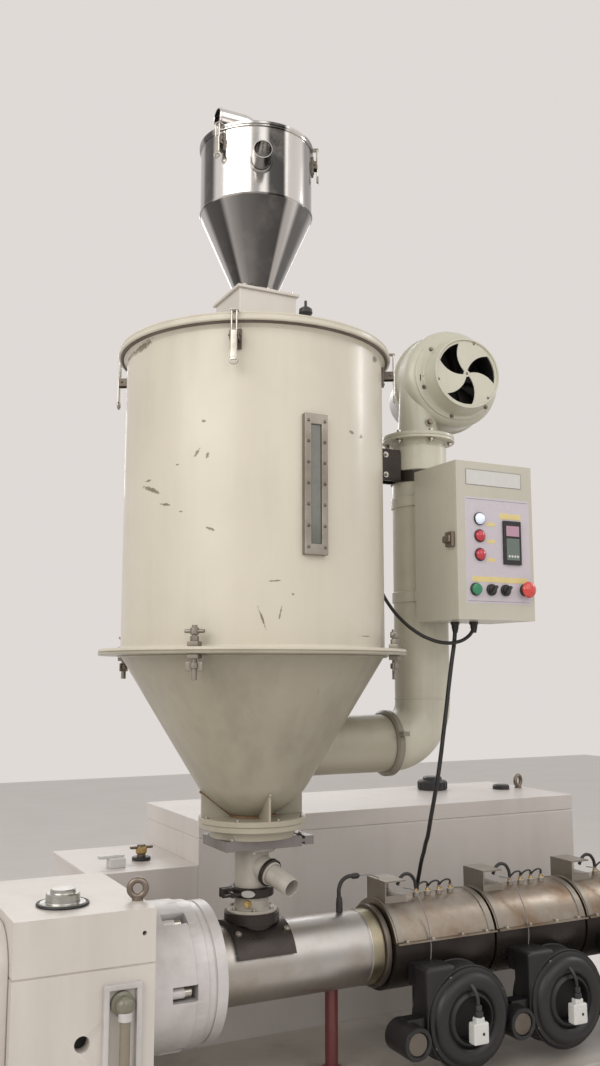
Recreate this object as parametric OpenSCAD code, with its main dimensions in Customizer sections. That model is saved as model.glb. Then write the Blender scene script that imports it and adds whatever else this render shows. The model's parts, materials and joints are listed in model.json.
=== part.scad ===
// Plastic extruder with a hopper dryer and a vacuum loader on its feed throat.
// The X axis runs along the barrel towards the die, Y runs away from the operator
// and Z points up. The origin is on the floor under the hopper's axis.

/* [Machine base] */
// Height of the barrel's centre line above the floor
screw_z = 1000; // [900:10:1150]
// How far the base reaches past the drive motor
base_margin = 50; // [20:5:100]
// Distance from the barrel's centre line to the base's front
base_front = 260; // [240:10:320]
// Height of the base's top plate above the floor
base_top = 700; // [660:10:720]
// Thickness of the base's top plate
top_plate_t = 20; // [12:1:30]
// Height of the recessed plinth
plinth_h = 90; // [60:5:120]
// How far the plinth stands back from the base's sides
plinth_inset = 30; // [20:5:60]
// Thickness of a removable front panel
panel_t = 12; // [8:1:20]
// Number of front panels
panel_count = 5; // [4:1:6]
// Width of the base's frame round each front panel
panel_margin = 36; // [25:1:60]
// Play round a panel in its recess
panel_play = 2; // [1:0.5:4]
// Number of louvres in each front panel
louvre_count = 6; // [2:1:10]

/* [Gearbox and drive] */
// Length of the gearbox along the barrel
gearbox_len = 310; // [280:5:340]
// Height of the gearbox's top above the barrel's centre line
gearbox_rise = 210; // [190:5:240]
// Distance from the centre line to the gearbox's front and rear faces
gearbox_half_w = 220; // [190:5:240]
// Height of the joint between the gearbox halves above the centre line
split_rise = 94; // [60:2:120]
// Radius of the stepped output flange
flange_r = 172; // [150:1:180]
// Length of the stepped output flange
flange_len = 200; // [180:5:220]
// Radius of the drive motor's body
motor_r = 160; // [140:5:170]
// Length of the drive motor's body
motor_len = 560; // [500:10:600]
// Length of the coupling guard between motor and gearbox
coupling_len = 190; // [170:5:210]

/* [Barrel] */
// Radius of the bare feed section
feed_barrel_r = 95; // [85:1:105]
// Right end of the feed section, from the hopper axis
feed_barrel_end = 340; // [320:5:360]
// Outer radius of the heater covers
cover_r = 118; // [110:1:126]
// Wall of the heater covers
cover_t = 4; // [3:0.5:6]
// Number of heated zones
zone_count = 5; // [3:1:5]
// Length of one zone along the barrel
zone_pitch = 325; // [300:5:330]
// Gap between neighbouring heater covers
zone_gap = 8; // [4:1:14]
// Radius of the heated barrel under the covers
barrel_r = 80; // [70:1:90]
// Radius of the die flange
die_flange_r = 135; // [120:1:150]
// Thickness of the die flange
die_flange_t = 50; // [40:1:60]
// Radius of the die flange's bolt circle
die_bolt_r = 108; // [100:1:112]
// Radius of the die flange's bolt holes
die_hole_r = 9; // [7:0.5:11]
// Radius of the register recess in the die flange
register_r = 60; // [50:1:70]
// Depth of the register recess
register_depth = 18; // [10:1:25]
// Outer radius of a zone fan's scroll
fan_r = 125; // [110:1:130]
// Width of a zone fan's scroll
fan_w = 90; // [70:5:110]

/* [Rear cabinets] */
// Distance from the centre line to the cabinets' fronts
cabinet_front = 318; // [300:2:340]
// Depth of the cabinets
cabinet_depth = 467; // [420:5:500]
// Left end of the tall cabinet, from the hopper axis
cabinet_left = 22; // [0:1:60]
// Right end of the tall cabinet, from the hopper axis
cabinet_right = 1355; // [1300:5:1400]
// Height of the tall cabinet
cabinet_h = 1306; // [1250:2:1340]
// Height of the groove under the cabinet's lid, below its top
lid_line = 50; // [40:1:70]
// Length of the low tank to the left of the tall cabinet
tank_len = 310; // [280:5:340]
// Height of the low tank
tank_h = 1185; // [1150:5:1200]

/* [Feed throat] */
// Bore of the feed throat and of the feed pipe
throat_bore_r = 38; // [32:1:42]
// Radius of the throat casting's collar
throat_r = 70; // [64:1:78]
// Height of the collar's top above the barrel's centre line
throat_rise = 126; // [118:1:135]
// Wall of the feed pipe
feed_pipe_t = 6; // [4:1:8]
// Radius of the flanges at the feed pipe's ends
pipe_flange_r = 64; // [60:1:68]
// Thickness of the flanges at the feed pipe's ends
pipe_flange_t = 8; // [6:1:12]
// Outer radius of the side spigot
spigot_r = 24; // [20:1:27]
// Wall of the side spigot
spigot_t = 3; // [2:0.5:4]
// Height of the slide gate's underside above the floor
gate_z = 1286; // [1280:1:1300]
// Thickness of the gate's upper and lower plates
gate_wall = 8; // [6:1:10]
// Thickness of the sliding plate
gate_t = 8; // [6:1:10]
// Clearance round the sliding plate
gate_gap = 0.5; // [0.3:0.1:1]
// Width of the sliding plate
gate_w = 130; // [110:2:150]
// Half length of the gate's guide along the slide
gate_half_len = 105; // [98:1:120]
// How far the closed plate stands out of its guide
gate_reach = 40; // [30:1:60]

/* [Hopper] */
// Outer radius of the drum
drum_r = 345; // [320:1:355]
// Height of the joint between cone and drum above the floor
joint_z = 1775; // [1765:1:1800]
// Height of the drum
drum_h = 785; // [740:5:820]
// Sheet thickness of drum, cone and lid
sheet_t = 3; // [2:0.5:4]
// Radius of the joint's two rings
ring_r = 402; // [390:1:410]
// Thickness of each ring
ring_t = 8; // [5:1:12]
// Radius of the cone's outlet
outlet_r = 126; // [120:1:130]
// Height of the cylindrical skirt under the cone
skirt_h = 50; // [40:1:70]
// Radius of the base flange under the skirt
foot_r = 138; // [132:1:142]
// Thickness of the base flange under the skirt
foot_t = 14; // [10:1:16]
// Height of the ring between the slide gate and the base flange
foot_ring_h = 36; // [30:1:45]
// How far the lid's rim stands out past the drum
lid_rim = 20; // [12:1:30]
// Height of the lid's rim
lid_rim_h = 26; // [20:1:40]
// Rise of the lid's top over its rim
lid_crown = 24; // [15:1:40]
// Half width of the square adaptor on the lid
adaptor_half = 110; // [100:2:125]
// Width of the sight window's frame
window_w = 62; // [56:1:80]
// Height of the sight window's frame
window_h = 340; // [280:5:380]
// Height of the sight window's lower edge above the floor
window_z = 1998; // [1980:2:2040]

/* [Vacuum loader] */
// Outer radius of the loader's body
loader_r = 155; // [145:1:165]
// Height of the loader's body
loader_h = 195; // [170:5:220]
// Height of the loader's cone
loader_cone_h = 215; // [190:5:240]
// Radius of the loader's outlet
loader_outlet_r = 55; // [48:1:62]
// Height of the square adaptor between the lid and the loader
adaptor_h = 166; // [140:2:190]
// Sheet thickness of the loader
loader_t = 2; // [1.5:0.5:3]
// Outer radius of the material inlet and of the vacuum port
port_r = 25; // [22:1:28]
// Wall of the material inlet and of the vacuum port
port_t = 2.5; // [1.5:0.5:3]
// Length of the material inlet outside the body
inlet_len = 70; // [50:5:90]

/* [Blower and heater] */
// Distance from the hopper axis to the heater tube's axis
tube_x = 530; // [515:5:560]
// Outer radius of the heater tube
tube_r = 78; // [70:1:80]
// Height of the horizontal hot air pipe above the floor
air_z = 1530; // [1510:5:1550]
// Bend radius of the hot air elbow
elbow_bend = 110; // [100:5:130]
// Radius of the blower's flange
blower_flange_r = 106; // [100:1:115]
// Height of the blower's flange above the floor
blower_flange_z = 2400; // [2380:5:2420]
// Radius of the blower's scroll at its narrow end
scroll_r = 142; // [132:1:150]
// How much the scroll's radius grows in one turn
scroll_growth = 18; // [10:1:40]
// Width of the blower's scroll
scroll_w = 124; // [110:2:150]
// Radius of the blower's inlet guard
guard_r = 104; // [98:1:108]
// How far the guard stands in front of the scroll
guard_reach = 50; // [40:1:60]
// Turn of the blower on the heater tube, towards the hopper's front
blower_turn = -8; // [-15:1:0]

/* [Control box] */
// Width of the control box
box_w = 253; // [240:1:270]
// Depth of the control box with its door
box_d = 198; // [185:1:215]
// Height of the control box
box_h = 424; // [400:2:440]
// Left side of the control box, from the hopper axis
box_x = 460; // [455:1:475]
// Height of the control box's underside above the floor
box_z = 1862; // [1850:2:1880]
// Sheet thickness of the control box
box_t = 3; // [2:0.5:4]
// Thickness of the door
door_t = 16; // [12:1:22]
// Gap between the door and the box
door_gap = 0.5; // [0.3:0.1:1]

/* [Hidden] */
$fn = 72;

cream = [0.88, 0.85, 0.77];
warm_white = [0.86, 0.84, 0.80];
silver_paint = [0.76, 0.76, 0.76];
steel = [0.72, 0.70, 0.66];
polished = [0.82, 0.82, 0.84];
cast_dark = [0.16, 0.14, 0.14];
plastic_black = [0.08, 0.08, 0.09];
pipe_red = [0.35, 0.08, 0.08];
connector_white = [0.9, 0.9, 0.9];
glass_grey = [0.45, 0.48, 0.46];

// Clearance between curved faces that seat on each other
seat_gap = 0.3;

// Places along the barrel
flange_end = 130;
gearbox_x1 = -flange_end - flange_len;
gearbox_x0 = gearbox_x1 - gearbox_len;
coupling_x0 = gearbox_x0 - coupling_len;
motor_x0 = coupling_x0 - motor_len;
base_x0 = motor_x0 - base_margin;
collar_t = 20;
zone_x0 = feed_barrel_end + collar_t;
zone_len = zone_pitch - zone_gap;
zones_end = zone_x0 + zone_count * zone_pitch;
support_t = 30;
barrel_end = zones_end + support_t + 20;
base_x1 = barrel_end;

// Heights of the feed stack
throat_top = screw_z + throat_rise;
gate_slot_z = gate_z + gate_wall;
gate_top = gate_slot_z + gate_t + 2 * gate_gap + gate_wall;
cone_foot_z = gate_top + foot_ring_h;
skirt_z = cone_foot_z + foot_t;
cone_z = skirt_z + skirt_h;
cone_top = joint_z - ring_t;
drum_top = joint_z + drum_h;

// Heights of the lid and of the loader
lid_rim_r = drum_r + lid_rim;
lid_rim_top = drum_top + 15;
lid_top = lid_rim_top + lid_crown;
lid_flat_r = adaptor_half * 1.5;
loader_z = lid_top + adaptor_h;
loader_body_z = loader_z + loader_cone_h;
loader_top = loader_body_z + loader_h;
loader_lid_t = 10;

// Blower
scroll_x = tube_x + 104;
scroll_z = blower_flange_z + 185;
guard_y = -scroll_w / 2 - guard_reach;
collar_r = guard_r - 3;

// Control box
box_front = -tube_r - 4 - box_d;
box_back = -tube_r - 4;
door_y = box_front + door_t;
hinge_x = box_x + box_w + 6;
hinge_y = door_y + door_gap / 2;
hinge_r = 6;
hinge_pin_r = 3;
hinge_len = 22;

// A block between two corners.
module block(low, high) {
    translate(low) cube(high - low);
}

// Turns a shape that stands along Z so that it lies along X.
module lie_x(at = [0, 0, 0]) {
    translate(at) rotate([0, 90, 0]) children();
}

// Turns a shape that stands along Z so that it points towards -Y.
module face_front(at = [0, 0, 0]) {
    translate(at) rotate([90, 0, 0]) children();
}

// A round tube with its lower end at the origin.
module tube(outer, inner, length) {
    difference() {
        cylinder(r = outer, h = length);
        translate([0, 0, -1]) cylinder(r = inner, h = length + 2);
    }
}

// Puts a shape on a circle round Z, turned from the front towards +X.
module round_front(angle) {
    rotate([0, 0, angle]) children();
}

module base_housing() color(cream) {
    recess = panel_t - 4;
    pitch = (base_x1 - base_x0) / panel_count;
    difference() {
        block([base_x0, -base_front, plinth_h], [base_x1, cabinet_front, base_top - top_plate_t]);
        for (i = [0 : panel_count - 1])
            translate([base_x0 + i * pitch, 0, 0])
                block([panel_margin, -base_front - 1, plinth_h + panel_margin],
                      [pitch - panel_margin, -base_front + recess,
                       base_top - top_plate_t - panel_margin]);
    }
    block([base_x0 - 6, -base_front - 6, base_top - top_plate_t],
          [base_x1 + 6, cabinet_front, base_top]);
    block([base_x0 + plinth_inset, -base_front + plinth_inset, 0],
          [base_x1 - plinth_inset, cabinet_front, plinth_h]);
}

module base_panels() color(warm_white) {
    pitch = (base_x1 - base_x0) / panel_count;
    low = plinth_h + panel_margin + panel_play;
    high = base_top - top_plate_t - panel_margin - panel_play;
    for (i = [0 : panel_count - 1])
        translate([base_x0 + i * pitch + panel_margin + panel_play, 0, 0])
            difference() {
                block([0, -base_front - 4, low],
                      [pitch - 2 * panel_margin - 2 * panel_play, -base_front + panel_t - 4,
                       high]);
                for (j = [0 : louvre_count - 1])
                    block([60, -base_front - 5, high - 60 - j * 26],
                          [pitch - 2 * panel_margin - 60, -base_front + 2, high - 50 - j * 26]);
            }
}

module gearbox_housing() color(warm_white) {
    top = screw_z + gearbox_rise;
    split = screw_z + split_rise;
    difference() {
        union() {
            block([gearbox_x0, -gearbox_half_w, base_top], [gearbox_x1, gearbox_half_w, top]);
            block([gearbox_x0, -gearbox_half_w - 26, base_top],
                  [gearbox_x1, gearbox_half_w + 26, base_top + 32]);
        }
        // The joint between the housing's halves shows as a narrow groove.
        difference() {
            block([gearbox_x0 - 1, -gearbox_half_w - 1, split - 2],
                  [gearbox_x1 + 1, gearbox_half_w + 1, split + 2]);
            block([gearbox_x0 + 3, -gearbox_half_w + 3, split - 3],
                  [gearbox_x1 - 3, gearbox_half_w - 3, split + 3]);
        }
        face_front([gearbox_x1 - 26, -gearbox_half_w + 18, screw_z + 158]) cylinder(r = 5, h = 20);
        face_front([gearbox_x0 + 151, -gearbox_half_w + 34, screw_z - 52]) cylinder(r = 17, h = 36);
    }
}

// Filler cap with its flange, and the lifting eye, on the gearbox's top.
module gearbox_fittings() color(steel) {
    top = screw_z + gearbox_rise;
    translate([gearbox_x0 + 127, -100, top]) {
        cylinder(r = 42, h = 6);
        cylinder(r = 30, h = 24);
        cylinder(r = 22, h = 32);
    }
    translate([gearbox_x1 - 16, -133, top]) lifting_eye(20, 7);
}

// A lifting eye with its collar on the origin.
module lifting_eye(ring, wire) {
    cylinder(r = wire * 1.8, h = wire);
    translate([0, 0, wire * 0.6 + ring]) rotate([90, 0, 0])
        rotate_extrude() translate([ring - wire / 2, 0]) circle(r = wire);
}

// Guarded oil sight gauge on the gearbox's front.
module oil_sight_gauge() color(steel) {
    x = gearbox_x1 - 75;
    y = -gearbox_half_w;
    z = screw_z + 20;
    block([x - 42, y - 14, z - 180], [x - 30, y, z + 30]);
    block([x + 30, y - 14, z - 180], [x + 42, y, z + 30]);
    block([x - 42, y - 14, z + 30], [x + 42, y, z + 42]);
    face_front([x, y, z]) cylinder(r = 22, h = 40);
    translate([x, y - 28, z - 175]) cylinder(r = 13, h = 175);
    face_front([x, y, z - 165]) cylinder(r = 16, h = 40);
}

// Stepped round flange between gearbox and barrel, with its socket screws in pockets.
module output_flange() color(silver_paint) {
    pocket_x = gearbox_x1 + 60;
    difference() {
        union() {
            lie_x([gearbox_x1, 0, screw_z]) cylinder(r = flange_r, h = 118);
            lie_x([gearbox_x1, 0, screw_z]) cylinder(r = flange_r - 4, h = 150);
            lie_x([gearbox_x1, 0, screw_z]) cylinder(r = flange_r - 9, h = flange_len);
        }
        for (i = [0 : 5])
            translate([0, 0, screw_z]) rotate([i * 60, 0, 0])
                block([pocket_x, -flange_r - 5, -18], [pocket_x + 62, -flange_r + 40, 18]);
        lie_x([gearbox_x1 + 168, 0, screw_z]) tube(flange_r, flange_r - 13, 5);
    }
    for (i = [0 : 5])
        translate([0, 0, screw_z]) rotate([i * 60, 0, 0])
            lie_x([pocket_x - 1, -flange_r + 20, 0]) tube(12, 5, 33);
}

// Rounded guard over the coupling between motor and gearbox.
module coupling_guard() color(warm_white) {
    half = gearbox_half_w - 30;
    shoulder = screw_z + gearbox_rise - 110;
    block([coupling_x0, -half, base_top], [gearbox_x0, half, shoulder]);
    block([coupling_x0, -half + 90, shoulder], [gearbox_x0, half - 90, shoulder + 90]);
    for (side = [-1, 1])
        lie_x([coupling_x0, side * (half - 90), shoulder]) cylinder(r = 90, h = coupling_len);
}

module drive_motor() color(silver_paint) {
    lie_x([motor_x0 + 110, 0, screw_z]) cylinder(r = motor_r - 16, h = motor_len - 110);
    lie_x([motor_x0 + motor_len - 24, 0, screw_z]) cylinder(r = motor_r + 12, h = 24);
    lie_x([motor_x0, 0, screw_z]) cylinder(r = motor_r, h = 120);
    fin_count = 24;
    for (i = [0 : fin_count - 1])
        translate([0, 0, screw_z]) rotate([i * 360 / fin_count + 4, 0, 0])
            block([motor_x0 + 112, -2, motor_r - 20],
                  [motor_x0 + motor_len - 14, 2, fin_tip_r]);
}

// Radius over the tips of the motor's fins
fin_tip_r = motor_r - 3;

// Two cast feet with saddles under the motor's fins.
module motor_feet() color(silver_paint) {
    foot_len = 60;
    difference() {
        for (x = [motor_x0 + 150, motor_x0 + motor_len - 50 - foot_len])
            block([x, -motor_r, base_top], [x + foot_len, motor_r, screw_z - motor_r * 0.5]);
        lie_x([motor_x0 + 100, 0, screw_z])
            cylinder(r = fin_tip_r + seat_gap, h = motor_len - 50);
    }
}

// Terminal box on top of the motor's fins.
module motor_terminal_box() color(silver_paint) {
    x = motor_x0 + 200;
    difference() {
        union() {
            block([x, -70, screw_z + motor_r - 30], [x + 140, 70, screw_z + motor_r + 66]);
            block([x - 4, -74, screw_z + motor_r + 66], [x + 144, 74, screw_z + motor_r + 80]);
        }
        lie_x([x - 1, 0, screw_z]) cylinder(r = fin_tip_r + seat_gap, h = 142);
    }
}

module feed_barrel() color(polished) {
    length = feed_barrel_end + flange_end;
    difference() {
        lie_x([-flange_end, 0, screw_z]) cylinder(r = feed_barrel_r, h = length);
        lie_x([feed_barrel_end - 40, 0, screw_z]) tube(feed_barrel_r + 1, feed_barrel_r - 2, 3);
        translate([0, 0, screw_z]) cylinder(r = throat_bore_r, h = feed_barrel_r + 1);
    }
}

// Cast saddle on the feed section with a round collar for the feed pipe.
module feed_throat() color(cast_dark) {
    half = throat_r + 8;
    difference() {
        union() {
            translate([0, 0, screw_z + 40]) cylinder(r = throat_r - 10, h = throat_rise - 40);
            translate([0, 0, throat_top - 24]) cylinder(r = throat_r, h = 24);
            intersection() {
                lie_x([-half, 0, screw_z]) cylinder(r = feed_barrel_r + 13, h = 2 * half);
                block([-half - 1, -140, screw_z + 36], [half + 1, 140, throat_top]);
            }
        }
        lie_x([-half - 1, 0, screw_z]) cylinder(r = feed_barrel_r + seat_gap, h = 2 * half + 2);
        translate([0, 0, screw_z]) cylinder(r = throat_bore_r, h = throat_rise + 1);
    }
}

// Where the side spigot leaves the feed pipe, and the way it points.
spigot_z = gate_z - 36;
spigot_turn = 20;
spigot_dip = 20;
spigot_len = 150;
// Radius and end of the thicker root that the spigot starts from
root_r = spigot_r + 6;
root_len = 78;

module spigot_axis() {
    translate([0, 0, spigot_z]) rotate([90 + spigot_dip, 0, spigot_turn]) children();
}

module feed_pipe() color(silver_paint) {
    outer = throat_bore_r + feed_pipe_t;
    difference() {
        union() {
            translate([0, 0, throat_top]) cylinder(r = pipe_flange_r, h = pipe_flange_t);
            translate([0, 0, throat_top]) cylinder(r = outer, h = gate_z - throat_top);
            translate([0, 0, gate_z - pipe_flange_t]) cylinder(r = pipe_flange_r, h = pipe_flange_t);
            spigot_axis() cylinder(r = root_r, h = root_len);
            spigot_axis() cylinder(r = spigot_r, h = spigot_len);
        }
        translate([0, 0, throat_top - 1]) cylinder(r = throat_bore_r, h = gate_z - throat_top + 2);
        spigot_axis() cylinder(r = spigot_r - spigot_t, h = spigot_len + 1);
    }
}

// Black clamp ring on the feed pipe, and the band on the spigot's root.
module feed_pipe_clamps() color(plastic_black) {
    outer = throat_bore_r + feed_pipe_t;
    z = throat_top + 38;
    difference() {
        union() {
            translate([0, 0, z]) cylinder(r = outer + 12, h = 24);
            block([-outer - 42, -11, z], [-outer, 11, z + 24]);
        }
        translate([0, 0, z - 1]) cylinder(r = outer + seat_gap, h = 26);
        block([-outer - 43, -2, z - 1], [-outer + 3, 2, z + 25]);
    }
    spigot_axis() translate([0, 0, root_len - 16]) tube(root_r + 5, root_r + seat_gap, 12);
}

// Guide of the slide gate: two plates on side rails.
module gate_housing() color(steel) {
    half_w = gate_w / 2 + 12;
    slot = gate_t + 2 * gate_gap;
    difference() {
        block([-gate_half_len, -half_w, gate_z], [gate_half_len, half_w, gate_top]);
        block([-gate_half_len + 10 - gate_gap, -gate_w / 2 - gate_gap, gate_slot_z],
              [gate_half_len + 1, gate_w / 2 + gate_gap, gate_slot_z + slot]);
        translate([0, 0, gate_z - 1]) cylinder(r = throat_bore_r, h = gate_top - gate_z + 2);
    }
}

module gate_plate() color(steel) {
    grip = 26;
    far = gate_half_len + gate_reach;
    z = gate_slot_z + gate_gap;
    block([-gate_half_len + 10, -gate_w / 2, z], [far, gate_w / 2, z + gate_t]);
    block([far - grip, -gate_w / 2, z - 7], [far, gate_w / 2, z + gate_t + 7]);
}

module barrel_tube() color(steel) {
    lie_x([feed_barrel_end, 0, screw_z]) cylinder(r = barrel_r, h = barrel_end - feed_barrel_end);
    lie_x([feed_barrel_end, 0, screw_z]) cylinder(r = feed_barrel_r + 10, h = collar_t - 6);
}

// End flange of the barrel with its bolt circle and the register recess for the die.
module die_flange() color(steel) {
    difference() {
        lie_x([barrel_end, 0, screw_z]) cylinder(r = die_flange_r, h = die_flange_t);
        for (i = [0 : 7])
            lie_x([barrel_end - 1, die_bolt_r * cos(i * 45 + 22.5),
                   screw_z + die_bolt_r * sin(i * 45 + 22.5)])
                cylinder(r = die_hole_r, h = die_flange_t + 2);
        lie_x([barrel_end + die_flange_t - register_depth, 0, screw_z])
            cylinder(r = register_r, h = register_depth + 1);
    }
}

// Height of the joint between a heater cover and the cowl under it
cover_split = screw_z + 25;

module heater_covers() color(polished) {
    for (i = [0 : zone_count - 1])
        translate([zone_x0 + i * zone_pitch, 0, 0])
            difference() {
                union() {
                    intersection() {
                        lie_x([0, 0, screw_z]) cylinder(r = cover_r, h = zone_len);
                        block([-1, -cover_r - 1, cover_split], [zone_len + 1, cover_r + 1, screw_z + cover_r + 1]);
                    }
                    block([0, -cover_r - 10, cover_split], [zone_len, cover_r + 10, cover_split + cover_t]);
                }
                lie_x([-1, 0, screw_z]) cylinder(r = barrel_r + seat_gap, h = zone_len + 2);
            }
}

module lower_cowls() color(cast_dark) {
    for (i = [0 : zone_count - 1])
        translate([zone_x0 + i * zone_pitch, 0, 0])
            difference() {
                intersection() {
                    lie_x([0, 0, screw_z]) cylinder(r = cover_r - cover_t, h = zone_len);
                    block([-1, -cover_r, screw_z - cover_r], [zone_len + 1, cover_r, cover_split]);
                }
                lie_x([-1, 0, screw_z]) cylinder(r = barrel_r + seat_gap, h = zone_len + 2);
            }
}

// Terminal boxes and terminal posts on the heater covers.
module heater_terminals() color(steel) {
    for (i = [0 : zone_count - 1])
        translate([zone_x0 + i * zone_pitch, 0, 0])
            difference() {
                union() {
                    difference() {
                        block([12, -42, screw_z + cover_r - 20], [78, 52, screw_z + cover_r + 50]);
                        block([16, -43, screw_z + cover_r + 12], [79, 46, screw_z + cover_r + 46]);
                    }
                    for (x = [130 : 38 : 244])
                        translate([x, -12, screw_z + cover_r - 10]) {
                            cylinder(r = 9, h = 18);
                            cylinder(r = 4, h = 34);
                        }
                }
                lie_x([-1, 0, screw_z]) cylinder(r = cover_r + seat_gap, h = zone_len + 2);
            }
}

// Place of a zone's cooling fan below and in front of the barrel
fan_drop = 150;
fan_back = -cover_r - 8;
fan_z = screw_z - fan_drop;

module zone_fans() color(plastic_black) {
    for (i = [0 : zone_count - 1])
        translate([zone_x0 + i * zone_pitch + zone_len / 2, 0, 0])
            difference() {
                union() {
                    face_front([0, fan_back, fan_z]) cylinder(r = fan_r, h = fan_w);
                    face_front([0, fan_back - fan_w + 14, fan_z]) cylinder(r = fan_r * 0.6, h = 30);
                    block([-fan_r, fan_back - fan_w + 10, fan_z], [-fan_r + 90, fan_back - 10, fan_z + fan_r + 8]);
                    block([-fan_r, fan_back - 50, screw_z - 80], [-fan_r + 90, -60, screw_z - 10]);
                }
                lie_x([-zone_pitch, 0, screw_z])
                    cylinder(r = cover_r - cover_t + seat_gap, h = 2 * zone_pitch);
                face_front([0, fan_back - fan_w + 40, fan_z]) tube(fan_r * 0.45, fan_r * 0.22, 60);
            }
}

module fan_connectors() color(connector_white) {
    for (i = [0 : zone_count - 1])
        translate([zone_x0 + i * zone_pitch + zone_len / 2, fan_back - fan_w - 16, fan_z - 18]) {
            block([-17, -22, -26], [17, 0, 22]);
            block([-10, -18, 22], [10, -4, 34]);
        }
}

module barrel_support() color(warm_white) {
    x = zones_end + 4;
    difference() {
        block([x, -cover_r, base_top], [x + support_t, cover_r, screw_z + 20]);
        lie_x([x - 1, 0, screw_z]) cylinder(r = barrel_r + seat_gap, h = support_t + 2);
    }
    lie_x([x, 0, screw_z]) tube(cover_r, barrel_r + seat_gap, support_t);
}

// Red cooling riser under the feed section.
module cooling_riser() color(pipe_red) {
    difference() {
        union() {
            translate([230, 0, base_top]) cylinder(r = 17, h = screw_z - base_top - feed_barrel_r + 20);
            translate([230, 0, base_top]) cylinder(r = 26, h = 14);
        }
        lie_x([150, 0, screw_z]) cylinder(r = feed_barrel_r + seat_gap, h = 160);
    }
}

module rear_cabinet() color(cream) {
    rear = cabinet_front + cabinet_depth;
    difference() {
        block([-cabinet_left, cabinet_front, 0], [cabinet_right, rear, cabinet_h]);
        difference() {
            block([-cabinet_left - 1, cabinet_front - 1, cabinet_h - lid_line - 2],
                  [cabinet_right + 1, rear + 1, cabinet_h - lid_line + 2]);
            block([-cabinet_left + 3, cabinet_front + 3, cabinet_h - lid_line - 3],
                  [cabinet_right - 3, rear - 3, cabinet_h - lid_line + 3]);
        }
    }
}

module rear_tank() color(cream) {
    x0 = -cabinet_left - tank_len;
    rear = cabinet_front + cabinet_depth - 60;
    block([x0, cabinet_front, 0], [-cabinet_left, rear, tank_h - 12]);
    block([x0 - 4, cabinet_front, tank_h - 12], [-cabinet_left, rear + 4, tank_h]);
}

// Caps and lifting eye on the tall cabinet, filler and tap on the tank.
module cabinet_fittings() color(plastic_black) {
    cap_r = 52;
    eye_row = cabinet_front + cabinet_depth * 0.52;
    tank_end = -cabinet_left - tank_len;
    translate([cabinet_right - 345, cabinet_front + cabinet_depth * 0.73, cabinet_h]) {
        cylinder(r = cap_r, h = 34, $fn = 8);
        cylinder(r = cap_r - 18, h = 46);
    }
    translate([cabinet_right - 115, eye_row, cabinet_h]) cylinder(r = 30, h = 16);
    translate([cabinet_right - 37, eye_row, cabinet_h]) lifting_eye(22, 7);
    translate([tank_end + 192, cabinet_front + 152, tank_h]) {
        cylinder(r = 26, h = 10);
        cylinder(r = 12, h = 44);
        block([-34, -7, 30], [34, 7, 42]);
    }
    translate([tank_end + 96, cabinet_front + 82, tank_h]) {
        block([-22, -22, 0], [22, 22, 26]);
        block([-52, -8, 26], [22, 8, 34]);
    }
}

module hopper_foot_ring() color(cream) {
    difference() {
        union() {
            translate([0, 0, gate_top]) cylinder(r = outlet_r - 16, h = foot_ring_h);
            translate([0, 0, cone_foot_z - foot_t]) cylinder(r = foot_r - 3, h = foot_t);
        }
        translate([0, 0, gate_top - 1]) cylinder(r = throat_bore_r, h = foot_ring_h + 2);
    }
}

// Skirt under the cone with its base flange and ribs.
module hopper_outlet() color(cream) {
    difference() {
        union() {
            translate([0, 0, cone_foot_z]) cylinder(r = foot_r, h = foot_t);
            translate([0, 0, skirt_z - 1]) cylinder(r = outlet_r, h = skirt_h + 1);
            for (i = [0 : 5])
                round_front(15 + i * 60)
                    block([-3, -foot_r + 2, skirt_z - 1], [3, -outlet_r + 2, cone_z - 2]);
        }
        translate([0, 0, skirt_z]) cylinder(r = outlet_r - sheet_t, h = skirt_h + 1);
        translate([0, 0, cone_foot_z - 1]) cylinder(r = throat_bore_r * 2, h = foot_t + 2);
    }
}

// Sheet cone with the round opening for the hot air pipe in its side.
module hopper_cone() color(cream) {
    low_r = outlet_r - sheet_t;
    high_r = drum_r - sheet_t;
    difference() {
        translate([0, 0, cone_z])
            cylinder(r1 = outlet_r, r2 = drum_r, h = cone_top - cone_z);
        rotate_extrude()
            polygon([[0, cone_z - 1], [low_r, cone_z - 1], [low_r, cone_z], [high_r, cone_top],
                     [high_r, cone_top + 1], [0, cone_top + 1]]);
        lie_x([0, 0, air_z]) cylinder(r = tube_r - sheet_t, h = drum_r);
    }
}

// Hot air pipe on the cone's side, its end cut to the cone.
module air_inlet() color(cream) {
    slack = seat_gap * 1.2;
    difference() {
        lie_x([0, 0, air_z]) cylinder(r = tube_r, h = tube_x - elbow_bend);
        translate([0, 0, cone_z])
            cylinder(r1 = outlet_r + slack, r2 = drum_r + slack, h = cone_top - cone_z);
        lie_x([-1, 0, air_z]) cylinder(r = tube_r - sheet_t, h = tube_x - elbow_bend + 2);
    }
}

module cone_ring() color(cream) {
    translate([0, 0, cone_top]) tube(ring_r, drum_r - sheet_t, ring_t);
}

module drum_ring() color(cream) {
    translate([0, 0, joint_z]) tube(ring_r, drum_r - sheet_t, ring_t);
}

module hopper_drum() color(cream) {
    wall_z = joint_z + ring_t;
    difference() {
        union() {
            translate([0, 0, wall_z]) tube(drum_r, drum_r - sheet_t, drum_top - wall_z);
            translate([0, 0, drum_top - 6]) tube(drum_r + 10, drum_r - sheet_t, 6);
        }
        block([-window_w / 2 + 16, -drum_r - 5, window_z + 22],
              [window_w / 2 - 16, -drum_r + 20, window_z + window_h - 22]);
    }
}

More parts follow.
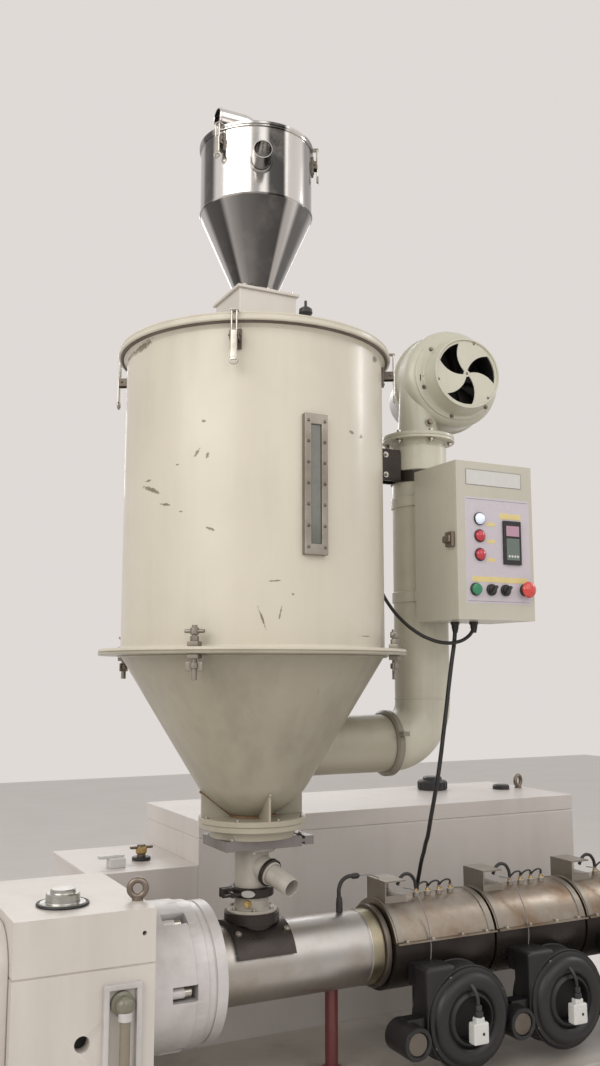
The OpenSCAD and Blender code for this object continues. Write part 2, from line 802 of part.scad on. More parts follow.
// Hinged bolt clamps over the two rings of the joint.
module flange_clamps() color(steel) {
    r = (drum_r + ring_r) / 2 + 6;
    for (a = [-45 : 90 : 225])
        round_front(a) translate([0, -r, 0]) {
            block([-22, -12, joint_z + ring_t], [22, 12, joint_z + ring_t + 12]);
            block([-22, -12, joint_z - ring_t - 12], [22, 12, joint_z - ring_t]);
            translate([0, 0, joint_z + ring_t + 12]) cylinder(r = 7, h = 34);
            block([-24, -5, joint_z + ring_t + 26], [24, 5, joint_z + ring_t + 38]);
            translate([0, 0, joint_z - ring_t - 42]) cylinder(r = 7, h = 30);
            block([-7, -6, joint_z - ring_t - 60], [7, 6, joint_z - ring_t - 36]);
        }
}

module hopper_lid() color(cream) {
    hole = loader_outlet_r + 8;
    low = lid_rim_top - lid_rim_h;
    bead = 5;
    rotate_extrude()
        polygon([[hole, lid_top], [lid_flat_r, lid_top], [drum_r - 6, lid_rim_top],
                 [lid_rim_r, lid_rim_top], [lid_rim_r, low], [lid_rim_r - sheet_t, low],
                 [lid_rim_r - sheet_t, drum_top], [drum_r - 24, drum_top],
                 [drum_r - 24, lid_rim_top - sheet_t], [lid_flat_r, lid_top - sheet_t],
                 [hole, lid_top - sheet_t]]);
    translate([0, 0, low]) rotate_extrude() translate([lid_rim_r - 1, 0]) circle(r = bead);
}

// Toggle latch against a wall of the given radius, hooked over a rim above it.
module toggle_latch(wall_r, rim_out, rim_z, length) {
    difference() {
        union() {
            block([-14, -wall_r - 6, rim_z - length - 20], [14, -wall_r + 6, rim_z - length + 30]);
            block([-8, -wall_r - rim_out - 16, rim_z - length], [8, -wall_r - 4, rim_z - length + 16]);
            block([-6, -wall_r - rim_out - 16, rim_z - length - 14],
                  [6, -wall_r - rim_out - 9, rim_z + 4]);
        }
        cylinder(r = wall_r + seat_gap, h = rim_z + 20);
    }
    block([-10, -wall_r - rim_out - 16, rim_z], [10, -wall_r - rim_out + 8, rim_z + 6]);
}

module toggle_latches() color(steel) {
    for (a = [-32 : 90 : 238])
        round_front(a) toggle_latch(drum_r, lid_rim, lid_rim_top, 110);
    for (a = [-30 : 120 : 210])
        round_front(a) toggle_latch(loader_r, 4, loader_top + loader_lid_t, 54);
    block([box_x - 14, box_front + 30, box_z + box_h / 2 - 20],
          [box_x, box_front + 54, box_z + box_h / 2 + 20]);
    block([box_x - 20, box_front + 18, box_z + box_h / 2 - 10],
          [box_x - 14, box_front + 50, box_z + box_h / 2 + 10]);
}

// Frame of the sight window, curved to the drum at its back.
module sight_window() color(steel) {
    face = drum_r + 14;
    difference() {
        block([-window_w / 2, -face, window_z], [window_w / 2, -drum_r + 12, window_z + window_h]);
        cylinder(r = drum_r + seat_gap, h = drum_top, $fn = 288);
        block([-window_w / 2 + 19, -face - 1, window_z + 26],
              [window_w / 2 - 19, -drum_r + 20, window_z + window_h - 26]);
        block([-window_w / 2 + 15, -drum_r - 10, window_z + 20],
              [window_w / 2 - 15, -drum_r + 20, window_z + window_h - 20]);
    }
}

module sight_glass() color(glass_grey) {
    block([-window_w / 2 + 15 + seat_gap, -drum_r - 10 + seat_gap, window_z + 20 + seat_gap],
          [window_w / 2 - 15 - seat_gap, -drum_r - 5, window_z + window_h - 20 - seat_gap]);
}

// Square adaptor between the lid and the loader's outlet.
module lid_adaptor() color(cream) {
    difference() {
        union() {
            block([-adaptor_half, -adaptor_half, lid_top], [adaptor_half, adaptor_half, loader_z]);
            block([-adaptor_half - 8, -adaptor_half - 8, loader_z - 8],
                  [adaptor_half + 8, adaptor_half + 8, loader_z]);
        }
        block([-adaptor_half + sheet_t, -adaptor_half + sheet_t, lid_top - 1],
              [adaptor_half - sheet_t, adaptor_half - sheet_t, loader_z - 8]);
        translate([0, 0, loader_z - 10]) cylinder(r = loader_outlet_r, h = 12);
    }
}

module loader_cone() color(polished) {
    flange = 8;
    difference() {
        union() {
            translate([0, 0, loader_z]) cylinder(r = loader_outlet_r + 22, h = flange);
            translate([0, 0, loader_z]) cylinder(r1 = loader_outlet_r, r2 = loader_r, h = loader_cone_h);
        }
        translate([0, 0, loader_z])
            cylinder(r1 = loader_outlet_r - loader_t * 1.2, r2 = loader_r - loader_t * 1.2,
                     h = loader_cone_h);
        translate([0, 0, loader_z - 1])
            cylinder(r = loader_outlet_r - loader_t * 1.2, h = 2);
    }
}

// Height and direction of the material inlet on the loader's body
inlet_z = loader_body_z + 88;
inlet_turn = -20;

module loader_body() color(polished) {
    difference() {
        union() {
            translate([0, 0, loader_body_z]) cylinder(r = loader_r, h = loader_h);
            round_front(inlet_turn) face_front([0, -loader_r + 12, inlet_z]) {
                cylinder(r = port_r + 5, h = 20);
                cylinder(r = port_r, h = inlet_len + 12);
            }
        }
        translate([0, 0, loader_body_z - 1]) cylinder(r = loader_r - loader_t, h = loader_h + 2);
        round_front(inlet_turn)
            face_front([0, -loader_r + 20, inlet_z]) cylinder(r = port_r - port_t, h = inlet_len + 30);
    }
}

module loader_lid() color(polished) {
    difference() {
        union() {
            translate([0, 0, loader_top]) cylinder(r = loader_r + 5, h = loader_lid_t);
            translate([0, 0, loader_top + loader_lid_t])
                cylinder(r1 = loader_r - 10, r2 = loader_r - 60, h = 14);
        }
        translate([0, 0, loader_top - 1]) cylinder(r = port_r, h = 40);
    }
}

// Radius of the vacuum elbow's bend
vacuum_bend = 46;

// Elbow from the loader's lid towards -X, with its port as a plain tube.
module vacuum_elbow() color(polished) {
    foot = loader_top + loader_lid_t + 14;
    bend_z = foot + 10;
    port_len = 75;
    difference() {
        union() {
            translate([0, 0, foot]) cylinder(r = port_r + 14, h = 6);
            translate([0, 0, foot]) cylinder(r = port_r, h = bend_z - foot);
            translate([-vacuum_bend, 0, bend_z]) rotate([90, 0, 0])
                rotate_extrude(angle = 90) translate([vacuum_bend, 0]) circle(r = port_r);
            translate([-vacuum_bend - port_len, 0, bend_z + vacuum_bend]) rotate([0, 90, 0])
                cylinder(r = port_r, h = port_len);
        }
        translate([0, 0, foot - 1]) cylinder(r = port_r - port_t, h = bend_z - foot + 1);
        translate([-vacuum_bend, 0, bend_z]) rotate([90, 0, 0])
            rotate_extrude(angle = 90) translate([vacuum_bend, 0]) circle(r = port_r - port_t);
        translate([-vacuum_bend - port_len - 1, 0, bend_z + vacuum_bend]) rotate([0, 90, 0])
            cylinder(r = port_r - port_t, h = port_len + 1);
    }
}

module air_elbow() color(cream) {
    translate([tube_x - elbow_bend, 0, air_z + elbow_bend]) rotate([90, 0, 0])
        rotate([0, 0, -90]) rotate_extrude(angle = 90) translate([elbow_bend, 0]) circle(r = tube_r);
}

module heater_tube() color(cream) {
    foot = air_z + elbow_bend;
    translate([tube_x, 0, foot]) cylinder(r = tube_r, h = blower_flange_z - 8 - foot);
    translate([tube_x, 0, blower_flange_z - 8]) cylinder(r = blower_flange_r, h = 8);
}

// Band on the elbow's joint, tie to the drum, and straps that carry the control box.
module duct_clamps() color(cast_dark) {
    lie_x([tube_x - elbow_bend - 26, 0, air_z]) tube(tube_r + 12, tube_r + seat_gap, 24);
    for (z = [box_z + 60, box_z + box_h - 90])
        difference() {
            union() {
                translate([tube_x, 0, z]) cylinder(r = tube_r + 4, h = 30);
                block([tube_x - 60, box_back, z], [tube_x + 60, -tube_r + 30, z + 30]);
            }
            translate([tube_x, 0, z - 1]) cylinder(r = tube_r + seat_gap, h = 32);
        }
    tie_z = blower_flange_z - 80;
    difference() {
        union() {
            translate([tube_x, 0, tie_z]) cylinder(r = tube_r + 5, h = 40);
            block([drum_r - 20, -20, tie_z], [tube_x - tube_r, 20, tie_z + 40]);
        }
        translate([tube_x, 0, tie_z - 1]) cylinder(r = tube_r + seat_gap, h = 42);
        cylinder(r = drum_r + seat_gap, h = drum_top);
    }
}

// Turns the blower's parts together about the heater tube's axis.
module on_tube() {
    translate([tube_x, 0, 0]) rotate([0, 0, blower_turn]) translate([-tube_x, 0, 0]) children();
}

// Sector of the blower's scroll: a rounded profile turned through an angle.
module scroll_sector(radius, start, sweep = 90, inset = 0) {
    edge = 30 - inset;
    half = scroll_w / 2 - inset;
    rotate([90, 0, 0]) rotate([0, 0, start]) rotate_extrude(angle = sweep) union() {
        translate([0, -half]) square([radius - edge, 2 * half]);
        translate([0, -half + edge]) square([radius, 2 * half - 2 * edge]);
        for (side = [-1, 1])
            translate([radius - edge, side * (half - edge)]) circle(r = edge);
    }
}

// Cast scroll that grows from quarter to quarter, with its outlet pointing down.
module blower_housing() color(cream) {
    step = scroll_growth / 3;
    r0 = scroll_r;
    r1 = r0 + step;
    r2 = r1 + step;
    neck_r = tube_r - 20;
    on_tube() difference() {
        union() {
            translate([scroll_x, 0, scroll_z]) scroll_sector(r0, -90);
            translate([scroll_x - step, 0, scroll_z]) scroll_sector(r1, 0);
            translate([scroll_x - step, 0, scroll_z - step]) scroll_sector(r2, 90);
            translate([scroll_x - step, 0, scroll_z - step])
                scroll_sector(r0 - step - 2, 0, 360, 2);
            block([scroll_x - step - r2 + 5, -scroll_w / 2 + 14, blower_flange_z + 30],
                  [tube_x + neck_r + 2, scroll_w / 2 - 14, scroll_z - step]);
            translate([tube_x, 0, blower_flange_z]) cylinder(r = neck_r, h = 70);
            translate([tube_x, 0, blower_flange_z]) cylinder(r = blower_flange_r, h = 10);
        }
        face_front([scroll_x, -scroll_w / 2 + 30, scroll_z]) cylinder(r = collar_r - 8, h = 40);
    }
}

// Round inlet collar between the scroll's front and the guard.
module inlet_collar() color(cream) {
    on_tube() face_front([scroll_x, -scroll_w / 2, scroll_z]) difference() {
        cylinder(r1 = collar_r + 9, r2 = collar_r, h = guard_reach);
        translate([0, 0, -1]) cylinder(r = collar_r - 8, h = guard_reach + 2);
    }
}

// One lobe of the guard's swirl: a circle through the centre less its turned twin.
module swirl_lobe(reach, sweep) {
    difference() {
        translate([reach / 2, 0]) circle(r = reach / 2);
        rotate(-sweep) translate([reach / 2, 0]) circle(r = reach / 2);
    }
}

// Inlet guard with three swirl-shaped openings and a raised rim.
module blower_guard() color(cream) {
    open_r = guard_r - 13;
    hub_r = 10;
    on_tube() face_front([scroll_x, guard_y, scroll_z]) {
        linear_extrude(4) difference() {
            circle(r = guard_r);
            for (i = [0 : 2])
                difference() {
                    intersection() {
                        circle(r = open_r);
                        rotate(108 + i * 120) swirl_lobe(open_r * 1.6, 54);
                    }
                    circle(r = hub_r);
                }
        }
        tube(guard_r, guard_r - 5, 9);
    }
}

module blower_motor() color(silver_paint) {
    on_tube() {
        translate([scroll_x, 0, scroll_z]) rotate([-90, 0, 0]) {
            translate([0, 0, scroll_w / 2]) cylinder(r = 96, h = 12);
            translate([0, 0, scroll_w / 2 + 12]) cylinder(r = 74, h = 150);
            translate([0, 0, scroll_w / 2 + 140]) cylinder(r = 82, h = 60);
        }
        block([scroll_x - 45, scroll_w / 2 + 30, scroll_z + 60],
              [scroll_x + 45, scroll_w / 2 + 120, scroll_z + 112]);
    }
}

// Open-fronted cabinet body with the hinge pins on its right side.
module control_box() color(cream) {
    front = door_y + door_gap;
    difference() {
        block([box_x, front, box_z], [box_x + box_w, box_back, box_z + box_h]);
        block([box_x + box_t, front - 1, box_z + box_t],
              [box_x + box_w - box_t, box_back - box_t, box_z + box_h - box_t]);
    }
    for (z = [box_z + 60, box_z + box_h - 60 - 2 * hinge_len]) {
        translate([hinge_x, hinge_y, z]) cylinder(r = hinge_r, h = hinge_len);
        translate([hinge_x, hinge_y, z]) cylinder(r = hinge_pin_r, h = 2 * hinge_len);
        block([box_x + box_w, hinge_y + 2, z], [hinge_x, hinge_y + 6, z + hinge_len]);
    }
}

module control_door() color(cream) {
    difference() {
        union() {
            block([box_x, box_front, box_z], [box_x + box_w, door_y, box_z + box_h]);
            for (z = [box_z + 60, box_z + box_h - 60 - 2 * hinge_len]) {
                translate([hinge_x, hinge_y, z + hinge_len + 0.5])
                    cylinder(r = hinge_r, h = hinge_len - 0.5);
                block([box_x + box_w - 1, hinge_y - 6, z + hinge_len + 0.5],
                      [hinge_x, hinge_y - 2, z + 2 * hinge_len]);
            }
        }
        for (z = [box_z + 60, box_z + box_h - 60 - 2 * hinge_len])
            translate([hinge_x, hinge_y, z]) cylinder(r = hinge_pin_r + 0.05, h = 3 * hinge_len);
    }
}

// Three lamps, a push button, two selectors, the stop button and the controller on the door.
module door_controls() color(plastic_black) {
    lamp_x = box_x + 72;
    row_z = box_z + 80;
    for (rise = [269, 223, 173])
        face_front([lamp_x, box_front, box_z + rise]) cylinder(r = 13, h = 14);
    for (x = [55, 106, 153])
        face_front([box_x + x, box_front, row_z]) cylinder(r = 13, h = 16);
    face_front([box_x + 219, box_front, row_z + 3]) {
        cylinder(r = 12, h = 20);
        translate([0, 0, 20]) cylinder(r = 18, h = 12);
    }
    block([box_x + 149, box_front - 10, box_z + 150], [box_x + 208, box_front, box_z + 269]);
}

// Cable routes, from gland to gland.
sensor_route = [
    [345, 60, 2060], [362, 50, 2056], [376, 34, 2034], [384, 14, 1996], [390, -10, 1952],
    [400, -40, 1908], [416, -74, 1868], [438, -108, 1836], [466, -138, 1814], [498, -160, 1804],
    [530, -172, 1806], [558, -178, 1818], [576, -180, 1836], [582, -180, 1852], [582, -180, 1862]];
supply_route = [
    [541, -150, 1862], [540, -150, 1835], [536, -150, 1800], [528, -150, 1758], [517, -149, 1690],
    [507, -148, 1623], [498, -145, 1557], [491, -139, 1491], [490, -125, 1436], [495, -100, 1381],
    [507, -65, 1327], [521, -30, 1278], [538, 8, 1248], [557, 45, 1220], [578, 88, 1190],
    [596, 128, 1148], [606, 160, 1090], [610, 178, 1010], [611, 186, 930], [612, 190, 850],
    [612, 190, 770], [612, 190, 700]];

function unit(v) = v / norm(v);
function bend_point(p, i, t) =
    let (a = p[max(i - 1, 0)], b = p[i], c = p[i + 1], d = p[min(i + 2, len(p) - 1)])
    0.5 * (2 * b + (c - a) * t + (2 * a - 5 * b + 4 * c - d) * t * t
           + (3 * b - a - 3 * c + d) * t * t * t);
function smooth_route(p, steps) = concat(
    [for (i = [0 : len(p) - 2], j = [0 : steps - 1]) bend_point(p, i, j / steps)],
    [p[len(p) - 1]]);
function heading(p, i) = unit(p[min(i + 1, len(p) - 1)] - p[max(i - 1, 0)]);

// Round cable swept along a route; the side vector is never parallel to the route.
module cable(route, radius, side) {
    sides = 8;
    path = smooth_route(route, 2);
    count = len(path);
    rings = [for (i = [0 : count - 1])
        let (t = heading(path, i), n = unit(cross(t, side)), b = cross(t, n))
        for (k = [0 : sides - 1])
            path[i] + radius * (cos(k * 360 / sides) * n + sin(k * 360 / sides) * b)];
    walls = [for (i = [0 : count - 2], k = [0 : sides - 1])
        [i * sides + k, i * sides + (k + 1) % sides,
         (i + 1) * sides + (k + 1) % sides, (i + 1) * sides + k]];
    caps = [[for (k = [0 : sides - 1]) sides - 1 - k],
            [for (k = [0 : sides - 1]) (count - 1) * sides + k]];
    polyhedron(rings, concat(walls, caps), convexity = 6);
}

module sensor_cable() color(plastic_black) cable(sensor_route, 5, [0.7, 0.7, 0]);

module supply_cable() color(plastic_black) cable(supply_route, 6, [1, 0, 0]);

base_housing();
base_panels();
gearbox_housing();
gearbox_fittings();
oil_sight_gauge();
output_flange();
coupling_guard();
drive_motor();
motor_feet();
motor_terminal_box();
feed_barrel();
feed_throat();
feed_pipe();
feed_pipe_clamps();
gate_housing();
gate_plate();
barrel_tube();
die_flange();
heater_covers();
lower_cowls();
heater_terminals();
zone_fans();
fan_connectors();
barrel_support();
cooling_riser();
rear_cabinet();
rear_tank();
cabinet_fittings();
hopper_foot_ring();
hopper_outlet();
hopper_cone();
air_inlet();
cone_ring();
drum_ring();
hopper_drum();
flange_clamps();
hopper_lid();
toggle_latches();
sight_window();
sight_glass();
lid_adaptor();
loader_cone();
loader_body();
loader_lid();
vacuum_elbow();
air_elbow();
duct_clamps();
heater_tube();
blower_housing();
inlet_collar();
blower_guard();
blower_motor();
control_box();
control_door();
door_controls();
sensor_cable();
supply_cable();
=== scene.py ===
import bpy
import bmesh
import json
import math
from mathutils import Matrix, Vector


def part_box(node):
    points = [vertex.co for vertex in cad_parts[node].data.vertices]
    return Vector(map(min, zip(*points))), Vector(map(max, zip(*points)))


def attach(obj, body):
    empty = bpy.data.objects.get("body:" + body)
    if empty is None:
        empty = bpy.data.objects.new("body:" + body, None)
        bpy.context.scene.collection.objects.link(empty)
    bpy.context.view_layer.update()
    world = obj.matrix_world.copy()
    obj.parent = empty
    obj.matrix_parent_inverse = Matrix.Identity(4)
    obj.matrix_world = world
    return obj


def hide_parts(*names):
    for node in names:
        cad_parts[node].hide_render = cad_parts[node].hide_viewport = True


# Plastic extruder with its hopper dryer and vacuum loader.
# Metres throughout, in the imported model's frame: X towards the die, Z up.

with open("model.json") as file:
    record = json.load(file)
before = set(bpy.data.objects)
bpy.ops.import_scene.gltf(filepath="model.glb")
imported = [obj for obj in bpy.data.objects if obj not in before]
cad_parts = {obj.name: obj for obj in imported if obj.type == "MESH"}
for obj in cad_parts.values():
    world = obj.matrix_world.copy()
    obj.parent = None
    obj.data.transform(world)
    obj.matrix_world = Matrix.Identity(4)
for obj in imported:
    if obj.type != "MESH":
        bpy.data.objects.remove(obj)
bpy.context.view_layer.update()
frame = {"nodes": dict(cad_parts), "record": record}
nodes = frame["nodes"]
mainBody = "machine"
print("frame loaded")

# Camera at the photograph's viewpoint
cameraView = {
    "place": (-1.094, -2.418, 1.726),   # eye height, left of the hopper
    "turn": 27.0,                       # degrees from +Y towards +X
    "tilt": 7.9,                        # degrees above level
    "focalPixels": 1000.0,              # focal length in pixels of the 1066 high photograph
    "photoHeight": 1066.0,
}
cameraData = bpy.data.cameras.new("photoCamera")
cameraData.sensor_width = 36.0
cameraData.lens = 36.0 * cameraView["focalPixels"] / cameraView["photoHeight"]
cameraData.clip_end = 60.0
camera = bpy.data.objects.new("photoCamera", cameraData)
camera.location = cameraView["place"]
camera.rotation_euler = (math.radians(90 + cameraView["tilt"]), 0, math.radians(-cameraView["turn"]))
bpy.context.scene.collection.objects.link(camera)
bpy.context.scene.camera = camera


# Node helpers for the materials
def addNode(tree, kind, **values):
    node = tree.nodes.new(kind)
    for key, value in values.items():
        if hasattr(node, key):
            setattr(node, key, value)
        else:
            node.inputs[key.replace("_", " ")].default_value = value
    return node


def join(tree, source, target):
    tree.links.new(source, target)


def link(tree, source, output, target, socket):
    tree.links.new(source.outputs[output], target.inputs[socket])


def newGroup(name, inputs, outputs):
    group = bpy.data.node_groups.new(name, "ShaderNodeTree")
    for label, kind, value in inputs:
        socket = group.interface.new_socket(name=label, in_out="INPUT", socket_type=kind)
        if value is not None:
            socket.default_value = value
    for label, kind in outputs:
        group.interface.new_socket(name=label, in_out="OUTPUT", socket_type=kind)
    return group, group.nodes.new("NodeGroupInput"), group.nodes.new("NodeGroupOutput")


# Fine mottling, as on sprayed or handled metal: gives a mask and a height.
def makeMottleGroup():
    group, into, out = newGroup("mottle", [
        ("Vector", "NodeSocketVector", None), ("Scale", "NodeSocketFloat", 6.0),
        ("Low", "NodeSocketFloat", 0.4), ("High", "NodeSocketFloat", 0.65)],
        [("Mask", "NodeSocketFloat"), ("Height", "NodeSocketFloat")])
    noise = addNode(group, "ShaderNodeTexNoise", Detail=6.0, Roughness=0.62)
    link(group, into, "Vector", noise, "Vector")
    link(group, into, "Scale", noise, "Scale")
    span = addNode(group, "ShaderNodeMapRange")
    link(group, noise, "Fac", span, "Value")
    link(group, into, "Low", span, "From Min")
    link(group, into, "High", span, "From Max")
    link(group, span, "Result", out, "Mask")
    link(group, noise, "Fac", out, "Height")
    return group


# Dirt that runs down a wall: noise squeezed sideways and broken up.
def makeStreakGroup():
    group, into, out = newGroup("streaks", [
        ("Vector", "NodeSocketVector", None), ("Width", "NodeSocketFloat", 14.0),
        ("Amount", "NodeSocketFloat", 0.5)],
        [("Mask", "NodeSocketFloat")])
    squeeze = addNode(group, "ShaderNodeMapping", Scale=(1.0, 1.0, 0.09))
    link(group, into, "Vector", squeeze, "Vector")
    streak = addNode(group, "ShaderNodeTexNoise", Detail=5.0, Roughness=0.55)
    link(group, squeeze, "Vector", streak, "Vector")
    link(group, into, "Width", streak, "Scale")
    broken = addNode(group, "ShaderNodeTexNoise", Scale=3.1, Detail=3.0)
    link(group, into, "Vector", broken, "Vector")
    times = addNode(group, "ShaderNodeMath", operation="MULTIPLY")
    link(group, streak, "Fac", times, 0)
    link(group, broken, "Fac", times, 1)
    span = addNode(group, "ShaderNodeMapRange", From_Min=0.24, From_Max=0.42)
    link(group, times, "Value", span, "Value")
    scaled = addNode(group, "ShaderNodeMath", operation="MULTIPLY")
    link(group, span, "Result", scaled, 0)
    link(group, into, "Amount", scaled, 1)
    link(group, scaled, "Value", out, "Mask")
    return group


# Short dark scuffs and chips, scattered sparsely.
def makeScuffGroup():
    group, into, out = newGroup("scuffs", [
        ("Vector", "NodeSocketVector", None), ("Scale", "NodeSocketFloat", 9.0),
        ("Sparse", "NodeSocketFloat", 0.68)],
        [("Mask", "NodeSocketFloat")])
    tilt = addNode(group, "ShaderNodeMapping", Rotation=(0.0, 0.9, 0.5), Scale=(1.0, 1.0, 0.32))
    link(group, into, "Vector", tilt, "Vector")
    fine = addNode(group, "ShaderNodeTexNoise", Detail=7.0, Roughness=0.7)
    link(group, tilt, "Vector", fine, "Vector")
    link(group, into, "Scale", fine, "Scale")
    step = addNode(group, "ShaderNodeMapRange")
    link(group, fine, "Fac", step, "Value")
    link(group, into, "Sparse", step, "From Min")
    edge = addNode(group, "ShaderNodeMath", operation="ADD")
    edge.inputs[1].default_value = 0.035
    link(group, into, "Sparse", edge, 0)
    link(group, edge, "Value", step, "From Max")
    link(group, step, "Result", out, "Mask")
    return group


# Fine lines from grinding or rolling along one direction.
def makeBrushedGroup():
    group, into, out = newGroup("brushed", [
        ("Vector", "NodeSocketVector", None), ("Stretch", "NodeSocketVector", (1.0, 60.0, 60.0))],
        [("Lines", "NodeSocketFloat"), ("Height", "NodeSocketFloat")])
    times = addNode(group, "ShaderNodeVectorMath", operation="MULTIPLY")
    link(group, into, "Vector", times, 0)
    link(group, into, "Stretch", times, 1)
    lines = addNode(group, "ShaderNodeTexNoise", Scale=6.0, Detail=4.0, Roughness=0.6)
    link(group, times, "Vector", lines, "Vector")
    link(group, lines, "Fac", out, "Lines")
    link(group, lines, "Fac", out, "Height")
    return group


mottleGroup = makeMottleGroup()
streakGroup = makeStreakGroup()
scuffGroup = makeScuffGroup()
brushedGroup = makeBrushedGroup()


def groupNode(tree, group, vector, **values):
    node = tree.nodes.new("ShaderNodeGroup")
    node.node_tree = group
    join(tree, vector, node.inputs["Vector"])
    for key, value in values.items():
        node.inputs[key].default_value = value
    return node


def startMaterial(name):
    material = bpy.data.materials.new(name)
    material.use_nodes = True
    tree = material.node_tree
    shader = tree.nodes["Principled BSDF"]
    place = tree.nodes.new("ShaderNodeTexCoord").outputs["Object"]
    return material, tree, shader, place


def blendColour(tree, mask, under, over):
    mix = tree.nodes.new("ShaderNodeMix")
    mix.data_type = "RGBA"
    join(tree, mask, mix.inputs["Factor"])
    for value, socket in ((under, mix.inputs[6]), (over, mix.inputs[7])):
        if isinstance(value, bpy.types.NodeSocket):
            join(tree, value, socket)
        else:
            socket.default_value = (*value, 1.0)
    return mix.outputs[2]


def spanValue(tree, source, low, high):
    span = addNode(tree, "ShaderNodeMapRange", To_Min=low, To_Max=high)
    join(tree, source, span.inputs["Value"])
    return span.outputs["Result"]


def addBump(tree, shader, height, strength, distance=0.001):
    bump = addNode(tree, "ShaderNodeBump", Strength=strength, Distance=distance)
    join(tree, height, bump.inputs["Height"])
    link(tree, bump, "Normal", shader, "Normal")


# Sprayed machine paint with grime, running dirt and chips down to a dark primer.
def paintMaterial(name, colour, grimeColour, grime=0.35, streaks=0.3, scuffSparse=0.7,
                  scuffColour=(0.10, 0.085, 0.07), rough=(0.28, 0.5), orangePeel=0.12):
    material, tree, shader, place = startMaterial(name)
    mottle = groupNode(tree, mottleGroup, place, Scale=3.2, Low=0.35, High=0.75)
    tint = spanValue(tree, mottle.outputs["Mask"], 0.0, grime)
    shade = blendColour(tree, tint, colour, grimeColour)
    streak = groupNode(tree, streakGroup, place, Width=16.0, Amount=streaks)
    shade = blendColour(tree, streak.outputs["Mask"], shade, [c * 0.72 for c in grimeColour])
    scuff = groupNode(tree, scuffGroup, place, Scale=11.0, Sparse=scuffSparse)
    shade = blendColour(tree, scuff.outputs["Mask"], shade, scuffColour)
    join(tree, shade, shader.inputs["Base Color"])
    join(tree, spanValue(tree, mottle.outputs["Mask"], *rough), shader.inputs["Roughness"])
    shader.inputs["Coat Weight"].default_value = 0.25
    shader.inputs["Coat Roughness"].default_value = 0.2
    peel = addNode(tree, "ShaderNodeTexNoise", Scale=180.0, Detail=2.0)
    join(tree, place, peel.inputs["Vector"])
    addBump(tree, shader, peel.outputs["Fac"], orangePeel, 0.0006)
    return material


# Bare metal with rolling lines, smudges and a tint where it has been hot or handled.
def metalMaterial(name, colour, smudgeColour, stretch=(1.0, 60.0, 60.0), rough=(0.16, 0.4),
                  smudge=0.5, lineBump=0.06, metallic=1.0):
    material, tree, shader, place = startMaterial(name)
    lines = groupNode(tree, brushedGroup, place, Stretch=stretch)
    mottle = groupNode(tree, mottleGroup, place, Scale=7.0, Low=0.4, High=0.7)
    tint = spanValue(tree, mottle.outputs["Mask"], 0.0, smudge)
    shade = blendColour(tree, tint, colour, smudgeColour)
    join(tree, shade, shader.inputs["Base Color"])
    shader.inputs["Metallic"].default_value = metallic
    mixed = addNode(tree, "ShaderNodeMath", operation="ADD")
    join(tree, spanValue(tree, mottle.outputs["Mask"], *rough), mixed.inputs[0])
    join(tree, spanValue(tree, lines.outputs["Lines"], -0.06, 0.06), mixed.inputs[1])
    link(tree, mixed, "Value", shader, "Roughness")
    addBump(tree, shader, lines.outputs["Height"], lineBump, 0.0005)
    return material


# Moulded plastic or rubber with a fine grain.
def plasticMaterial(name, colour, rough=0.45, grain=0.1, grainScale=320.0, dust=0.2,
                    dustColour=(0.3, 0.28, 0.25)):
    material, tree, shader, place = startMaterial(name)
    mottle = groupNode(tree, mottleGroup, place, Scale=9.0, Low=0.45, High=0.8)
    tint = spanValue(tree, mottle.outputs["Mask"], 0.0, dust)
    join(tree, blendColour(tree, tint, colour, dustColour), shader.inputs["Base Color"])
    join(tree, spanValue(tree, mottle.outputs["Mask"], rough - 0.08, rough + 0.15),
         shader.inputs["Roughness"])
    fine = addNode(tree, "ShaderNodeTexNoise", Scale=grainScale, Detail=2.0)
    join(tree, place, fine.inputs["Vector"])
    addBump(tree, shader, fine.outputs["Fac"], grain, 0.0004)
    return material


creamPaint = paintMaterial("creamPaint", (0.74, 0.69, 0.56), (0.50, 0.44, 0.32))
whitePaint = paintMaterial("whitePaint", (0.62, 0.585, 0.545), (0.46, 0.42, 0.37), grime=0.25,
                           streaks=0.15, scuffSparse=0.74)
silverPaint = paintMaterial("silverPaint", (0.60, 0.60, 0.60), (0.36, 0.35, 0.34), grime=0.4)
redPaint = paintMaterial("redPaint", (0.16, 0.03, 0.03), (0.08, 0.03, 0.03))
bareSteel = metalMaterial("bareSteel", (0.50, 0.48, 0.44), (0.22, 0.18, 0.13))
polishedSteel = metalMaterial("polishedSteel", (0.78, 0.77, 0.76), (0.60, 0.58, 0.55),
                              stretch=(60.0, 60.0, 1.0), rough=(0.08, 0.2), lineBump=0.02)
barrelSteel = metalMaterial("barrelSteel", (0.455, 0.44, 0.425), (0.32, 0.265, 0.20),
                            stretch=(90.0, 1.0, 1.0), rough=(0.34, 0.52), smudge=0.7)
tintedSteel = metalMaterial("tintedSteel", (0.38, 0.345, 0.25), (0.20, 0.15, 0.09), rough=(0.3, 0.5))
heaterSteel = metalMaterial("heaterSteel", (0.34, 0.305, 0.26), (0.19, 0.12, 0.07),
                            rough=(0.30, 0.52), smudge=0.9)
darkCasting = metalMaterial("darkCasting", (0.042, 0.034, 0.030), (0.016, 0.012, 0.010),
                            rough=(0.25, 0.55), metallic=0.6, lineBump=0.3)
blackPlastic = plasticMaterial("blackPlastic", (0.012, 0.012, 0.014), dust=0.12)
cableRubber = plasticMaterial("cableRubber", (0.012, 0.012, 0.012), rough=0.5, dust=0.1)
# The brown of the ring under the lid rim: a seal, and painted shade under the rim.
sealAndShadeBrown = plasticMaterial("sealAndShadeBrown", (0.10, 0.078, 0.06), rough=0.6, dust=0.3)
whitePlastic = plasticMaterial("whitePlastic", (0.60, 0.60, 0.585), rough=0.35, dust=0.15)

